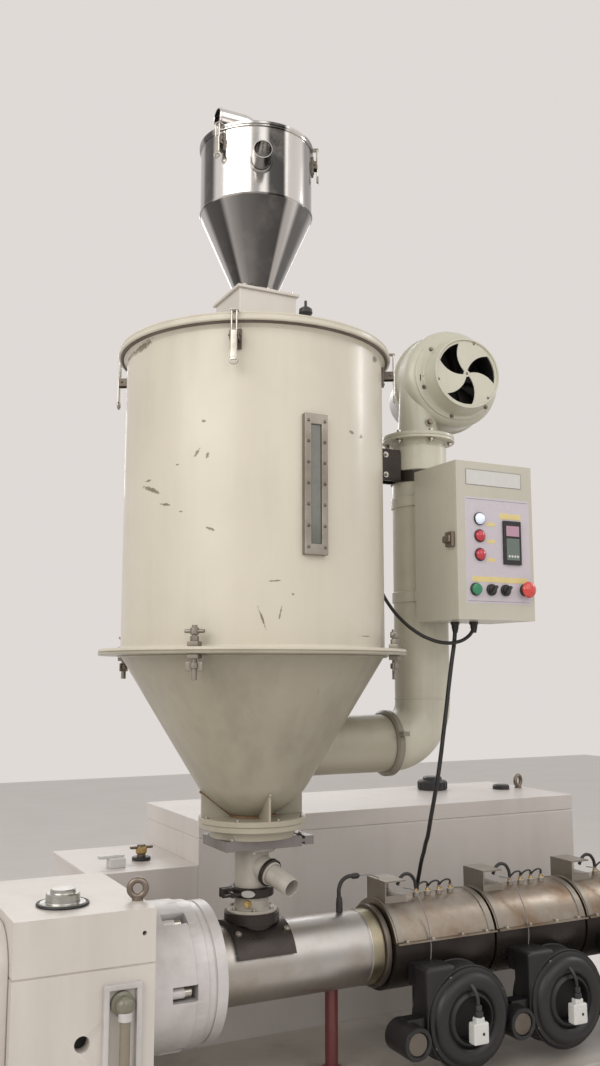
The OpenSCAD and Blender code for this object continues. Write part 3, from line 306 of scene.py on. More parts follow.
# Hopper: drum, cone, lid
hopper = {
    "radius": 0.345,          # outside of the drum
    "jointHeight": 1.775,     # joint between cone and drum
    "topHeight": 2.56,        # top of the drum
    "ringRadius": 0.402,      # rings of the joint
    "ringThickness": 0.008,
    "sheet": 0.003,
    "outletRadius": 0.126,    # the cone's lower end is 18 mm wider
    "dishHeight": 1.440,      # where the cone turns into its dished foot
    "footHeight": 1.361,
    "neckRadius": 0.056,
    "gussetTurn": -5.8,
    "lidRim": 0.365,
    "lidTop": 2.599,
    "steps": 160,
}


# A painted surface's own marks: faint scuffs at chosen places, and at x -0.339 just under the lid rim a patch
# of painted shade, (x, z, width, height, lean).
drumMarksAndShade = ((-0.244, 2.318, 0.006, 0.005, 0), (-0.255, 2.242, 0.004, 0.016, 25),
             (-0.236, 2.235, 0.004, 0.010, 10), (-0.288, 2.218, 0.004, 0.003, 0),
             (-0.330, 2.190, 0.005, 0.004, 0), (-0.326, 2.166, 0.005, 0.022, -38),
             (-0.306, 2.124, 0.010, 0.004, 25), (-0.281, 2.103, 0.004, 0.003, 0),
             (-0.229, 2.058, 0.013, 0.004, 30), (-0.096, 1.935, 0.020, 0.0028, -4),
             (-0.054, 1.905, 0.006, 0.003, 35), (-0.124, 1.848, 0.0035, 0.034, -20),
             (-0.083, 1.862, 0.003, 0.022, 12), (0.115, 2.312, 0.012, 0.006, 10),
             (0.151, 2.308, 0.010, 0.007, -15), (0.165, 1.812, 0.034, 0.0018, 0),
             (-0.339, 2.540, 0.010, 0.016, 30), (0.222, 2.532, 0.020, 0.012, -20))


def makeMarkGroup():
    group, into, out = newGroup("mark", [
        ("Vector", "NodeSocketVector", None), ("Place", "NodeSocketVector", (0, 0, 0)),
        ("Size", "NodeSocketVector", (0.02, 1.0, 0.01)), ("Lean", "NodeSocketVector", (0, 0, 0))],
        [("Mask", "NodeSocketFloat")])
    noise = addNode(group, "ShaderNodeTexNoise", Scale=150.0, Detail=5.0, Roughness=0.7)
    link(group, into, "Vector", noise, "Vector")
    mapping = addNode(group, "ShaderNodeMapping", vector_type="TEXTURE")
    link(group, into, "Vector", mapping, "Vector")
    link(group, into, "Place", mapping, "Location")
    link(group, into, "Lean", mapping, "Rotation")
    link(group, into, "Size", mapping, "Scale")
    reach = addNode(group, "ShaderNodeVectorMath", operation="LENGTH")
    link(group, mapping, "Vector", reach, 0)
    mixed = addNode(group, "ShaderNodeMath", operation="MULTIPLY_ADD")
    mixed.inputs[1].default_value = 1.9
    link(group, noise, "Fac", mixed, 0)
    link(group, reach, "Value", mixed, 2)
    edge = addNode(group, "ShaderNodeMapRange", From_Min=1.75, From_Max=1.45)
    link(group, mixed, "Value", edge, "Value")
    link(group, edge, "Result", out, "Mask")
    return group


markGroup = makeMarkGroup()


# Adds dark marks on the side that faces the operator: scuffs, and on the drum a patch of painted shade under
# the lid rim.
def markedPaint(material, marks, colour=(0.20, 0.17, 0.12)):
    tree = material.node_tree
    shader = tree.nodes["Principled BSDF"]
    place = next(node for node in tree.nodes if node.type == "TEX_COORD").outputs["Object"]
    shade = shader.inputs["Base Color"].links[0].from_socket
    for x, z, width, height, lean in marks:
        mark = groupNode(tree, markGroup, place)
        mark.inputs["Place"].default_value = (x, -math.sqrt(hopper["radius"] ** 2 - x * x), z)
        mark.inputs["Size"].default_value = (width, 0.2, height)
        mark.inputs["Lean"].default_value = (0, math.radians(lean), 0)
        shade = blendColour(tree, mark.outputs["Mask"], shade, colour)
    join(tree, shade, shader.inputs["Base Color"])
    return material


# Mirror-bright rolled steel, with its reflections painted into the colour: dark and light bands run round the
# vertical axis, (degrees, brightness).
bodyReflectionBands = ((-200, 0.55), (-184, 0.52), (-178, 0.10), (-164, 0.12), (-158, 0.95), (-134, 0.95), (-128, 0.62),
             (-106, 0.55), (-101, 0.05), (-86, 0.04), (-82, 0.85), (-62, 0.93), (-56, 0.42), (-38, 0.30),
             (-28, 0.60), (10, 0.85), (30, 0.30), (55, 0.20), (75, 0.90), (100, 0.55), (125, 0.25),
             (150, 0.80))
coneReflectionBands = ((-200, 0.50), (-184, 0.45), (-176, 0.09), (-154, 0.08), (-148, 0.50), (-142, 0.40), (-130, 0.22),
             (-108, 0.12), (-84, 0.10), (-80, 0.62), (-70, 0.66), (-64, 0.14), (-46, 0.12), (-34, 0.35),
             (0, 0.60), (30, 0.15), (70, 0.55), (110, 0.20), (150, 0.50))


# share: how much of a painted reflection band's brightness the steel gives back
def paintedReflectionMaterial(name, bands, share):
    material, tree, shader, place = startMaterial(name)
    parts = addNode(tree, "ShaderNodeSeparateXYZ")
    join(tree, place, parts.inputs["Vector"])
    angle = addNode(tree, "ShaderNodeMath", operation="ARCTAN2")
    link(tree, parts, "Y", angle, 0)
    link(tree, parts, "X", angle, 1)
    turn = addNode(tree, "ShaderNodeMapRange", From_Min=-math.pi, From_Max=math.pi)
    link(tree, angle, "Value", turn, "Value")
    # painted reflections: the colour follows the bands by angle round the vertical axis
    ramp = tree.nodes.new("ShaderNodeValToRGB")
    link(tree, turn, "Result", ramp, "Fac")
    stops = sorted(((degrees + 180) % 360 / 360, level * share) for degrees, level in bands)
    back = (stops[0][1] + stops[-1][1]) / 2   # where the ramp's two ends meet
    for end in ramp.color_ramp.elements:
        end.color = (back, back * 0.98, back * 0.96, 1.0)
    for spot, level in stops:
        stop = ramp.color_ramp.elements.new(spot)
        stop.color = (level, level * 0.975, level * 0.955, 1.0)
    mottle = groupNode(tree, mottleGroup, place, Scale=14.0, Low=0.5, High=0.8)
    tint = spanValue(tree, mottle.outputs["Mask"], 0.0, 0.25)
    shade = blendColour(tree, tint, ramp.outputs["Color"], (0.45, 0.42, 0.38))
    join(tree, shade, shader.inputs["Base Color"])
    shader.inputs["Metallic"].default_value = 1.0
    join(tree, spanValue(tree, mottle.outputs["Mask"], 0.17, 0.30), shader.inputs["Roughness"])
    wave = addNode(tree, "ShaderNodeTexNoise", Scale=7.0, Detail=2.0)
    join(tree, place, wave.inputs["Vector"])
    addBump(tree, shader, wave.outputs["Fac"], 0.2, 0.003)
    return material


# A lens or label of one colour, with slight dirt and a clear glossy coat.
def glossMaterial(name, colour, rough=0.18, dirt=0.15, glow=0.0):
    material, tree, shader, place = startMaterial(name)
    mottle = groupNode(tree, mottleGroup, place, Scale=60.0, Low=0.45, High=0.8)
    tint = spanValue(tree, mottle.outputs["Mask"], 0.0, dirt)
    join(tree, blendColour(tree, tint, colour, [c * 0.55 + 0.02 for c in colour]),
         shader.inputs["Base Color"])
    join(tree, spanValue(tree, mottle.outputs["Mask"], rough, rough + 0.2), shader.inputs["Roughness"])
    shader.inputs["Coat Weight"].default_value = 0.5
    shader.inputs["Coat Roughness"].default_value = 0.08
    if glow:
        shader.inputs["Emission Color"].default_value = (*colour, 1.0)
        shader.inputs["Emission Strength"].default_value = glow
    return material


drumPaint = markedPaint(paintMaterial("drumPaint", (0.62, 0.58, 0.49), (0.49, 0.455, 0.375), grime=0.35,
                                      streaks=0.16, scuffSparse=0.73), drumMarksAndShade)
# The cone's paint is the drum's, darkened: painted shade, as the cone and the foot ring face down under the
# drum; the heavier grime and streaks are dirt.
coneShadedPaint = paintMaterial("coneShadedPaint", (0.385, 0.355, 0.28), (0.27, 0.245, 0.185), grime=0.55, streaks=0.4)
ductPaint = paintMaterial("ductPaint", (0.62, 0.60, 0.50), (0.36, 0.33, 0.26), grime=0.6, streaks=0.45,
                          scuffSparse=0.68, rough=(0.35, 0.6))
clampPaint = paintMaterial("clampPaint", (0.26, 0.24, 0.19), (0.12, 0.10, 0.075), grime=0.5)
castPaint = paintMaterial("castPaint", (0.55, 0.54, 0.45), (0.40, 0.385, 0.30), grime=0.45, streaks=0.25,
                          orangePeel=0.3)
boxPaint = paintMaterial("boxPaint", (0.52, 0.50, 0.425), (0.42, 0.40, 0.335), grime=0.3, streaks=0.15,
                         scuffSparse=0.76)
pipePaint = paintMaterial("pipePaint", (0.50, 0.48, 0.44), (0.26, 0.22, 0.17), grime=0.7, streaks=0.5,
                          scuffSparse=0.66, rough=(0.3, 0.55))
rustyWeld = metalMaterial("rustyWeld", (0.22, 0.12, 0.06), (0.08, 0.045, 0.025), rough=(0.5, 0.8),
                          metallic=0.3, lineBump=0.4)
boltSteel = metalMaterial("boltSteel", (0.52, 0.50, 0.46), (0.20, 0.15, 0.10), rough=(0.2, 0.45))
satinSteel = metalMaterial("satinSteel", (0.50, 0.50, 0.48), (0.30, 0.28, 0.24), stretch=(8.0, 8.0, 60.0),
                           rough=(0.2, 0.42))
darkSteel = metalMaterial("darkSteel", (0.16, 0.14, 0.12), (0.07, 0.045, 0.03), rough=(0.35, 0.6),
                          metallic=0.8)
brassMetal = metalMaterial("brassMetal", (0.62, 0.46, 0.20), (0.30, 0.20, 0.09), rough=(0.2, 0.45))
# The loader's body, lid and cone: steel with painted reflections.
loaderPaintedReflection = paintedReflectionMaterial("loaderPaintedReflection", bodyReflectionBands, 0.86)
loaderConePaintedReflection = paintedReflectionMaterial("loaderConePaintedReflection", coneReflectionBands, 1.15)
windowGlass = glossMaterial("windowGlass", (0.11, 0.12, 0.10), rough=0.1, dirt=0.5)
gaugeGreen = paintMaterial("gaugeGreen", (0.20, 0.195, 0.145), (0.11, 0.10, 0.07), rough=(0.2, 0.35))
gaugeOil = glossMaterial("gaugeOil", (0.22, 0.19, 0.14), rough=0.08, dirt=0.4)
# Near-black for the inside of openings, slots, holes and gaps: painted shade.
openingShadeBlack = plasticMaterial("openingShadeBlack", (0.006, 0.005, 0.005), rough=0.7, dust=0.1)
fanBlack = plasticMaterial("fanBlack", (0.008, 0.007, 0.008), rough=0.5, dust=0.12,
                           dustColour=(0.055, 0.048, 0.045))
whiteCeramic = plasticMaterial("whiteCeramic", (0.62, 0.58, 0.50), rough=0.4, dust=0.4,
                               dustColour=(0.3, 0.2, 0.12))
panelLilac = plasticMaterial("panelLilac", (0.56, 0.52, 0.57), rough=0.35, grain=0.04, dust=0.15)
printGrey = plasticMaterial("printGrey", (0.20, 0.19, 0.20), rough=0.4, grain=0.02, dust=0.1)
lampWhite = glossMaterial("lampWhite", (0.70, 0.78, 0.90), glow=0.25)
lampRed = glossMaterial("lampRed", (0.50, 0.03, 0.05))
buttonGreen = glossMaterial("buttonGreen", (0.02, 0.22, 0.10))
buttonRed = glossMaterial("buttonRed", (0.62, 0.06, 0.05))
labelYellow = glossMaterial("labelYellow", (0.70, 0.58, 0.26), rough=0.35)
screenPink = glossMaterial("screenPink", (0.46, 0.27, 0.36), rough=0.1)
screenGreen = glossMaterial("screenGreen", (0.12, 0.16, 0.14), rough=0.15)
cabinetPaint = paintMaterial("cabinetPaint", (0.64, 0.60, 0.575), (0.47, 0.43, 0.39), grime=0.3, streaks=0.12,
                             scuffSparse=0.76)
# The machine base's paint is darkened: painted shade of the base below the barrel.
baseShadedPaint = paintMaterial("baseShadedPaint", (0.40, 0.375, 0.335), (0.24, 0.21, 0.18), grime=0.6, streaks=0.4)
flangeSteel = metalMaterial("flangeSteel", (0.60, 0.58, 0.58), (0.40, 0.37, 0.36), stretch=(4.0, 40.0, 40.0),
                            rough=(0.42, 0.60), smudge=0.7, metallic=0.25)
gateSteel = metalMaterial("gateSteel", (0.24, 0.22, 0.215), (0.12, 0.10, 0.085), stretch=(8.0, 8.0, 50.0),
                          rough=(0.35, 0.55), metallic=0.7)
ageingSteel = metalMaterial("ageingSteel", (0.24, 0.20, 0.165), (0.10, 0.07, 0.05), rough=(0.3, 0.5),
                            metallic=0.8)
boxSteel = metalMaterial("boxSteel", (0.30, 0.275, 0.24), (0.16, 0.13, 0.10), stretch=(10.0, 10.0, 40.0),
                         rough=(0.35, 0.55), metallic=0.85)
print("materials made")

slotMaterials = {
    "cream_paint": creamPaint, "white_paint": whitePaint, "silver_paint": silverPaint,
    "red_paint": redPaint, "bare_steel": bareSteel, "polished_steel": polishedSteel,
    "heater_steel": heaterSteel, "dark_casting": darkCasting, "black_plastic": blackPlastic,
    "black_rubber": cableRubber, "white_plastic": whitePlastic, "window_glass": blackPlastic,
}
slotOfNode = {row["node"]: row["material_slot"] for row in frame["record"]["subparts"]}
bodyOfNode = {name: body for body, members in frame["record"]["behaviour"]["bodies"].items()
              for name in members}


def setMaterial(thing, material):
    thing.data.materials.clear()
    thing.data.materials.append(material)


for name, node in nodes.items():
    setMaterial(node, slotMaterials[slotOfNode[name]])


# Turns a finished bmesh into a piece that rides on a body.
def newPiece(name, bm, material, body=mainBody, replaces=(), smooth=35.0):
    mesh = bpy.data.meshes.new(name)
    bm.to_mesh(mesh)
    bm.free()
    piece = bpy.data.objects.new(name, mesh)
    bpy.context.scene.collection.objects.link(piece)
    setMaterial(piece, material)
    mesh.shade_smooth()
    mesh.set_sharp_from_angle(angle=math.radians(smooth))
    shading = piece.modifiers.new("evenShading", "WEIGHTED_NORMAL")
    shading.keep_sharp = True
    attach(piece, body)
    if replaces:
        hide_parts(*replaces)
    return piece


# Modelling helpers: the shapes are bmeshes, and merge() adds one to another.
def shift(x, y, z):
    return Matrix.Translation((x, y, z))


def move(bm, place):
    bmesh.ops.transform(bm, matrix=place, verts=bm.verts)


def merge(target, part, place=None):
    if place is not None:
        move(part, place)
    mesh = bpy.data.meshes.new("part")
    part.to_mesh(mesh)
    part.free()
    target.from_mesh(mesh)
    bpy.data.meshes.remove(mesh)
    return target


def facing(place, direction=(0, 0, 1), roll=0.0):
    turn = Vector(direction).to_track_quat("Z", "Y").to_matrix().to_4x4()
    return Matrix.Translation(place) @ turn @ Matrix.Rotation(math.radians(roll), 4, "Z")


def aroundZ(angle, centre=(0, 0, 0)):
    there = Matrix.Translation(centre)
    return there @ Matrix.Rotation(math.radians(angle), 4, "Z") @ there.inverted()


def roundEdges(bm, edges, width, segments=2):
    bmesh.ops.bevel(bm, geom=list(edges), offset=width, offset_type="OFFSET", segments=segments,
                    profile=0.5, affect="EDGES", material=-1, clamp_overlap=True)


def slab(low, high, edge=0.002, segments=2):
    bm = bmesh.new()
    bmesh.ops.create_cube(bm, size=1.0)
    low, high = Vector(low), Vector(high)
    bmesh.ops.scale(bm, vec=high - low, verts=bm.verts)
    bmesh.ops.translate(bm, vec=(low + high) / 2, verts=bm.verts)
    if edge:
        roundEdges(bm, bm.edges, edge, segments)
    return bm


# Full turn of a profile of (radius, height) points round Z.
def turned(profile, steps=64, closed=False):
    bm = bmesh.new()
    verts = [bm.verts.new((radius, 0.0, height)) for radius, height in profile]
    edges = [bm.edges.new(pair) for pair in zip(verts, verts[1:])]
    if closed:
        edges.append(bm.edges.new((verts[-1], verts[0])))
    bmesh.ops.spin(bm, geom=verts + edges, cent=(0, 0, 0), axis=(0, 0, 1), dvec=(0, 0, 0),
                   angle=math.tau, steps=steps, use_merge=True)
    bmesh.ops.remove_doubles(bm, verts=bm.verts, dist=1e-6)
    bmesh.ops.recalc_face_normals(bm, faces=bm.faces)
    return bm


# Round bar that stands on the XY plane, with softened rims.
def bar(radius, height, edge=0.001, steps=32):
    edge = min(edge, radius * 0.45, height * 0.45)
    return turned([(0, 0), (radius - edge, 0), (radius - edge * 0.3, edge * 0.3), (radius, edge),
                   (radius, height - edge), (radius - edge * 0.3, height - edge * 0.3),
                   (radius - edge, height), (0, height)], steps)


# Flat ring or pipe with softened rims.
def ring(outer, inner, height, edge=0.001, steps=48):
    return turned([(inner + edge, 0), (outer - edge, 0), (outer, edge), (outer, height - edge),
                   (outer - edge, height), (inner + edge, height), (inner, height - edge),
                   (inner, edge)], steps, closed=True)


# Rolled bead or weld: a ring of round section at the given radius.
def bead(radius, thickness, height=0.0, steps=96, sides=10):
    points = [(radius + thickness * math.cos(math.tau * i / sides),
               height + thickness * math.sin(math.tau * i / sides)) for i in range(sides)]
    return turned(points, steps, closed=True)


def hexHead(size, height, edge=0.0006):
    bm = bmesh.new()
    bmesh.ops.create_cone(bm, cap_ends=True, segments=6, radius1=size / 1.732, radius2=size / 1.732,
                          depth=height)
    move(bm, shift(0, 0, height / 2))
    roundEdges(bm, bm.edges, edge, 1)
    return bm


# Hexagon bolt with its washer, seated on the XY plane.
def bolt(size, shank=0.0):
    bm = ring(size * 0.85, size * 0.3, size * 0.12, edge=size * 0.02, steps=20)
    merge(bm, hexHead(size, size * 0.55), shift(0, 0, size * 0.1))
    if shank:
        merge(bm, bar(size * 0.3, shank, edge=size * 0.05, steps=14))
    return bm


# Cap screw with its hexagon socket.
def socketScrew(radius, height):
    bm = bmesh.new()
    bmesh.ops.create_circle(bm, cap_ends=True, segments=24, radius=radius)
    face = bm.faces[:][0]
    lifted = bmesh.ops.extrude_face_region(bm, geom=[face])
    top = [g for g in lifted["geom"] if isinstance(g, bmesh.types.BMFace)]
    bmesh.ops.translate(bm, vec=(0, 0, height),
                        verts=[g for g in lifted["geom"] if isinstance(g, bmesh.types.BMVert)])
    bmesh.ops.inset_region(bm, faces=top, thickness=radius * 0.5, use_even_offset=True)
    sunk = bmesh.ops.extrude_face_region(bm, geom=top)
    bmesh.ops.delete(bm, geom=top, context="FACES")
    bmesh.ops.translate(bm, vec=(0, 0, -height * 0.5),
                        verts=[g for g in sunk["geom"] if isinstance(g, bmesh.types.BMVert)])
    bmesh.ops.recalc_face_normals(bm, faces=bm.faces)
    return bm


# Crosshead screw: a low domed head.
def panScrew(radius):
    return turned([(0, radius * 0.55), (radius * 0.5, radius * 0.5), (radius * 0.85, radius * 0.28),
                   (radius, 0), (0, 0)], 18)


# Pipes and wires that follow points, as one curve object.
def tubeRuns(name, routes, radius, material=cableRubber, body=mainBody,
             replaces=()):
    curve = bpy.data.curves.new(name, "CURVE")
    curve.dimensions = "3D"
    curve.bevel_depth = radius
    curve.bevel_resolution = 3
    curve.resolution_u = 8
    curve.use_fill_caps = True
    for route in routes:
        spline = curve.splines.new("BEZIER")
        spline.bezier_points.add(len(route) - 1)
        for point, place in zip(spline.bezier_points, route):
            point.co = place
            point.handle_left_type = "AUTO"
            point.handle_right_type = "AUTO"
    piece = bpy.data.objects.new(name, curve)
    bpy.context.scene.collection.objects.link(piece)
    curve.materials.append(material)
    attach(piece, body)
    if replaces:
        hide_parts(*replaces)
    return piece


# Rounded copy of a construction node: same form, with the small edge radii of the real part.
def softened(name, radius, segments=2, material=None):
    bm = bmesh.new()
    bm.from_mesh(nodes[name].data)
    bmesh.ops.remove_doubles(bm, verts=bm.verts, dist=2e-5)
    bmesh.ops.dissolve_limit(bm, angle_limit=math.radians(0.6), verts=bm.verts, edges=bm.edges)
    slot = slotOfNode[name]
    piece = newPiece(name + "_finished", bm, material or slotMaterials[slot],
                     bodyOfNode[name], smooth=30.0)
    edgeRounding = piece.modifiers.new("edgeRounding", "BEVEL")
    edgeRounding.width = radius
    edgeRounding.segments = segments
    edgeRounding.limit_method = "ANGLE"
    edgeRounding.angle_limit = math.radians(40)
    edgeRounding.harden_normals = True
    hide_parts(name)
    return piece


softRadii = {
    "base_housing": 0.004, "base_panels": 0.002, "gearbox_housing": 0.006, "coupling_guard": 0.004,
    "output_flange": 0.003, "rear_cabinet": 0.004, "rear_tank": 0.004, "die_flange": 0.002,
    "barrel_support": 0.003, "gate_housing": 0.001, "gate_plate": 0.001, "hopper_foot_ring": 0.002,
}
# The base housing and the hopper's foot ring take darkened paints: painted shade.
softMaterials = {"rear_cabinet": cabinetPaint, "rear_tank": cabinetPaint, "base_housing": baseShadedPaint,
                 "output_flange": flangeSteel, "gate_housing": gateSteel,
                 "gate_plate": gateSteel, "hopper_foot_ring": coneShadedPaint}
for name, radius in softRadii.items():
    softened(name, radius, material=softMaterials.get(name))
setMaterial(nodes["heater_terminals"], boxSteel)
print("rounded copies made")


def makeDrum():
    r, low, top = hopper["radius"], hopper["jointHeight"], hopper["topHeight"]
    inner, flange, t = r - hopper["sheet"], hopper["ringRadius"], hopper["ringThickness"]
    bm = turned([
        (inner, low), (flange - 0.002, low), (flange, low + 0.002), (flange, low + t - 0.002),
        (flange - 0.002, low + t), (r + 0.007, low + t), (r + 0.003, low + t + 0.002),
        (r, low + t + 0.006), (r, low + 0.2), (r, low + 0.4), (r, top - 0.016),
        (r + 0.003, top - 0.012), (r + 0.009, top - 0.008), (r + 0.010, top - 0.003),
        (r + 0.008, top), (inner, top)], hopper["steps"], closed=True)
    newPiece("hopperDrumShell", bm, drumPaint, replaces=["hopper_drum", "drum_ring"])


def makeCone():
    r, top, t = hopper["radius"], hopper["jointHeight"], hopper["ringThickness"]
    outlet, foot, dish = hopper["outletRadius"], hopper["footHeight"], hopper["dishHeight"]
    flange, sheet, neck = hopper["ringRadius"], hopper["sheet"], hopper["neckRadius"]
    bm = turned([
        (neck, foot + 0.0005), (neck + 0.001, foot + 0.004), (0.072, foot + 0.013), (0.094, foot + 0.029),
        (0.116, foot + 0.047), (0.134, foot + 0.064), (outlet + 0.018, dish),
        *((outlet + 0.018 + (r - 0.021 - outlet) * i / 6, dish + (top - t - 0.004 - dish) * i / 6)
          for i in range(1, 6)),
        (r - 0.003, top - t - 0.004), (r + 0.004, top - t - 0.001), (r + 0.010, top - t),
        (flange - 0.002, top - t), (flange, top - t + 0.002), (flange, top - 0.002),
        (flange - 0.002, top - 0.0005), (r - sheet, top - 0.0005), (r - sheet, top - t - 0.004),
        (outlet + 0.015, dish + 0.003), (0.092, foot + 0.032),
        (neck - sheet, foot + 0.006), (neck - sheet, foot + 0.0005)],
        hopper["steps"], closed=True)
    merge(bm, ring(0.138, 0.076, 0.014, 0.002, 96), shift(0, 0, foot - 0.014))
    merge(bm, ring(0.080, neck, 0.002, 0.0005, 96), shift(0, 0, foot - 0.0025))
    weld = bead(neck + 0.002, 0.0035, foot + 0.001, 90, 8)
    merge(bm, bead(r + 0.004, 0.0032, top - t - 0.002, 160, 8))
    # gussets between the dished foot and its ring, with a seam down the slope of each, one of them rusty
    high, low = Vector((0, -0.1365, foot + 0.069)), Vector((0, -neck, foot + 0.006))
    slope = (low - high).normalized()
    seam = Vector((0, -0.004, -0.004))
    for i in range(4):
        gusset = slab((-0.003, -0.1365, foot - 0.0005), (0.003, -neck, foot + 0.069), 0.0006, 1)
        geometry = gusset.verts[:] + gusset.edges[:] + gusset.faces[:]
        bmesh.ops.bisect_plane(gusset, geom=geometry, plane_co=high,
                               plane_no=(low - high).cross(Vector((-1, 0, 0))), clear_outer=True)
        bmesh.ops.holes_fill(gusset, edges=gusset.edges, sides=20)
        turn = aroundZ(hopper["gussetTurn"] + 90 * i)
        merge(bm, gusset, turn)
        run = bar(0.0034, (low - high).length, 0.001, 12)
        merge(weld if i == 3 else bm, run, turn @ facing(high + seam, slope))
    # hot air inlet
    inlet = ring(heater["radius"], heater["radius"] - 0.003, 0.30, 0.001, 64)
    merge(bm, inlet, facing((0.120, 0, heater["low"]), (1, 0, 0)))
    newPiece("hopperConeShell", bm, coneShadedPaint,
             replaces=["hopper_cone", "air_inlet", "hopper_outlet", "cone_ring"])
    newPiece("coneWelds", weld, rustyWeld)


def makeLid():
    rim, top, drumTop = hopper["lidRim"], hopper["lidTop"], hopper["topHeight"]
    r = hopper["radius"]
    rimTop = drumTop + 0.015
    low = rimTop - 0.0142
    bm = turned([
        (0.063, top), (0.158, top), (0.166, top - 0.001), (r - 0.012, rimTop + 0.002),
        (r - 0.002, rimTop), (rim - 0.004, rimTop), (rim, rimTop - 0.004), (rim, low),
        (rim - 0.003, low), (rim - 0.003, drumTop + 0.0005), (r - 0.024, drumTop + 0.0005),
        (r - 0.024, rimTop - 0.004), (0.165, top - 0.004), (0.063, top - 0.004)],
        hopper["steps"], closed=True)
    merge(bm, bead(rim - 0.001, 0.005, low, hopper["steps"], 12))
    merge(bm, bead(rim - 0.003, 0.0035, rimTop - 0.001, hopper["steps"], 10))
    newPiece("hopperLidShell", bm, drumPaint, replaces=["hopper_lid"])
    # Brown ring just below the lid rim: a seal, and painted shade under the rim.
    seal = bead(r + 0.0125, 0.0045, drumTop - 0.0045, hopper["steps"], 10)
    newPiece("lidSealAndShade", seal, sealAndShadeBrown)
    knob = turned([(0, 0), (0.011, 0), (0.010, 0.008), (0.013, 0.013), (0.017, 0.020),
                   (0.016, 0.030), (0.009, 0.035), (0, 0.036)], 28)
    merge(knob, bar(0.0035, 0.018, 0.001, 16), shift(0, 0, 0.034))
    move(knob, shift(-0.012, -0.325, 2.577))
    newPiece("lidKnob", knob, blackPlastic)


# Square adaptor between lid and loader
adaptor = {"half": 0.084, "low": 2.599, "top": 2.745, "rim": 0.091}


def makeAdaptor():
    half, low, top, rim = (adaptor[key] for key in ("half", "low", "top", "rim"))
    bm = slab((-half, -half, low), (half, half, top - 0.004), 0.004, 3)
    merge(bm, slab((-rim, -rim, top - 0.008), (rim, rim, top), 0.0015))
    merge(bm, slab((-rim - 0.006, -rim - 0.006, low), (rim + 0.006, rim + 0.006, low + 0.006), 0.0015))
    newPiece("adaptorBox", bm, whitePaint, replaces=["lid_adaptor"])
    screws = bmesh.new()
    for side in range(4):
        for offset in (-0.070, 0.0, 0.070):
            spin = aroundZ(90 * side)
            merge(screws, bolt(0.008), spin @ shift(offset, -rim + 0.009, top))
            merge(screws, bolt(0.008), spin @ shift(offset, -half - 0.0065, low + 0.006))
    newPiece("adaptorBolts", screws, boltSteel)


# Hinged bolt clamps over the joint of cone and drum
jointClamps = {"angles": (-45, 45, 135, 225), "radius": 0.3795, "boltRadius": 0.0065}


def makeJointClamps():
    low = hopper["jointHeight"] - hopper["ringThickness"]
    top = hopper["jointHeight"] + hopper["ringThickness"]
    bm = bmesh.new()
    for angle in jointClamps["angles"]:
        place = aroundZ(angle) @ shift(0, -jointClamps["radius"], 0)
        merge(bm, slab((-0.014, -0.012, top), (0.014, 0.012, top + 0.012), 0.002), place)
        merge(bm, slab((-0.014, -0.012, low - 0.012), (0.014, 0.012, low), 0.002), place)
        merge(bm, bar(jointClamps["boltRadius"], 0.125, 0.001, 20), place @ shift(0, 0, low - 0.060))
        merge(bm, hexHead(0.018, 0.012), place @ shift(0, 0, top + 0.012))
        # tommy bar through the bolt's head, and the wing nut below
        merge(bm, bar(0.0105, 0.016, 0.002, 20), place @ shift(0, 0, top + 0.027))
        merge(bm, bar(0.0045, 0.050, 0.002, 16), place @ facing((-0.025, 0, top + 0.035), (1, 0, 0)))
        merge(bm, bar(0.011, 0.014, 0.002, 20), place @ shift(0, 0, low - 0.034))
        for turn in (180, 0):
            wing = slab((0.006, -0.0022, low - 0.040), (0.022, 0.0022, low - 0.018), 0.002)
            merge(bm, wing, place @ aroundZ(turn))
    newPiece("jointClampBolts", bm, boxSteel, replaces=["flange_clamps"])


# Toggle latches of the lid, of the loader and of the control box
toggles = {
    "lid": {"angles": (-32, 58, 148, 238), "wall": 0.345, "out": 0.020, "rim": 2.575, "length": 0.066,
            "lever": 0.056},
    "loader": {"angles": (-62, 64, 181), "wall": 0.155, "out": 0.004, "rim": 3.185, "length": 0.054,
               "lever": 0.034},
}


def toggleLatch(wall, out, rim, length, lever):
    foot, front = rim - length, -wall - out
    plate = slab((-0.014, -wall - 0.006, foot - 0.020), (0.014, -wall + 0.001, foot + 0.030), 0.001)
    for x in (-0.012, 0.009):
        merge(plate, slab((x, front - 0.012, foot - 0.004), (x + 0.003, -wall - 0.003, foot + 0.018), 0.001))
    merge(plate, bar(0.003, 0.030, 0.001, 14), facing((-0.015, front - 0.004, foot + 0.008), (1, 0, 0)))
    for z in (foot - 0.014, foot + 0.024):
        merge(plate, panScrew(0.004), facing((0, -wall - 0.006, z), (0, -1, 0)))
    bm = slab((-0.008, front - 0.016, foot - lever), (0.008, front - 0.011, foot + 0.018), 0.0018)
    merge(bm, ring(0.0115, 0.006, 0.006, 0.002, 28), facing((0, front - 0.0105, foot - lever), (0, -1, 0)))
    for x in (-0.006, 0.006):
        merge(bm, bar(0.0022, length - 0.004, 0.0008, 10), shift(x, front - 0.012, foot + 0.008))
    merge(bm, slab((-0.010, front - 0.016, rim), (0.010, front + 0.008, rim + 0.004), 0.0015))
    return plate, bm


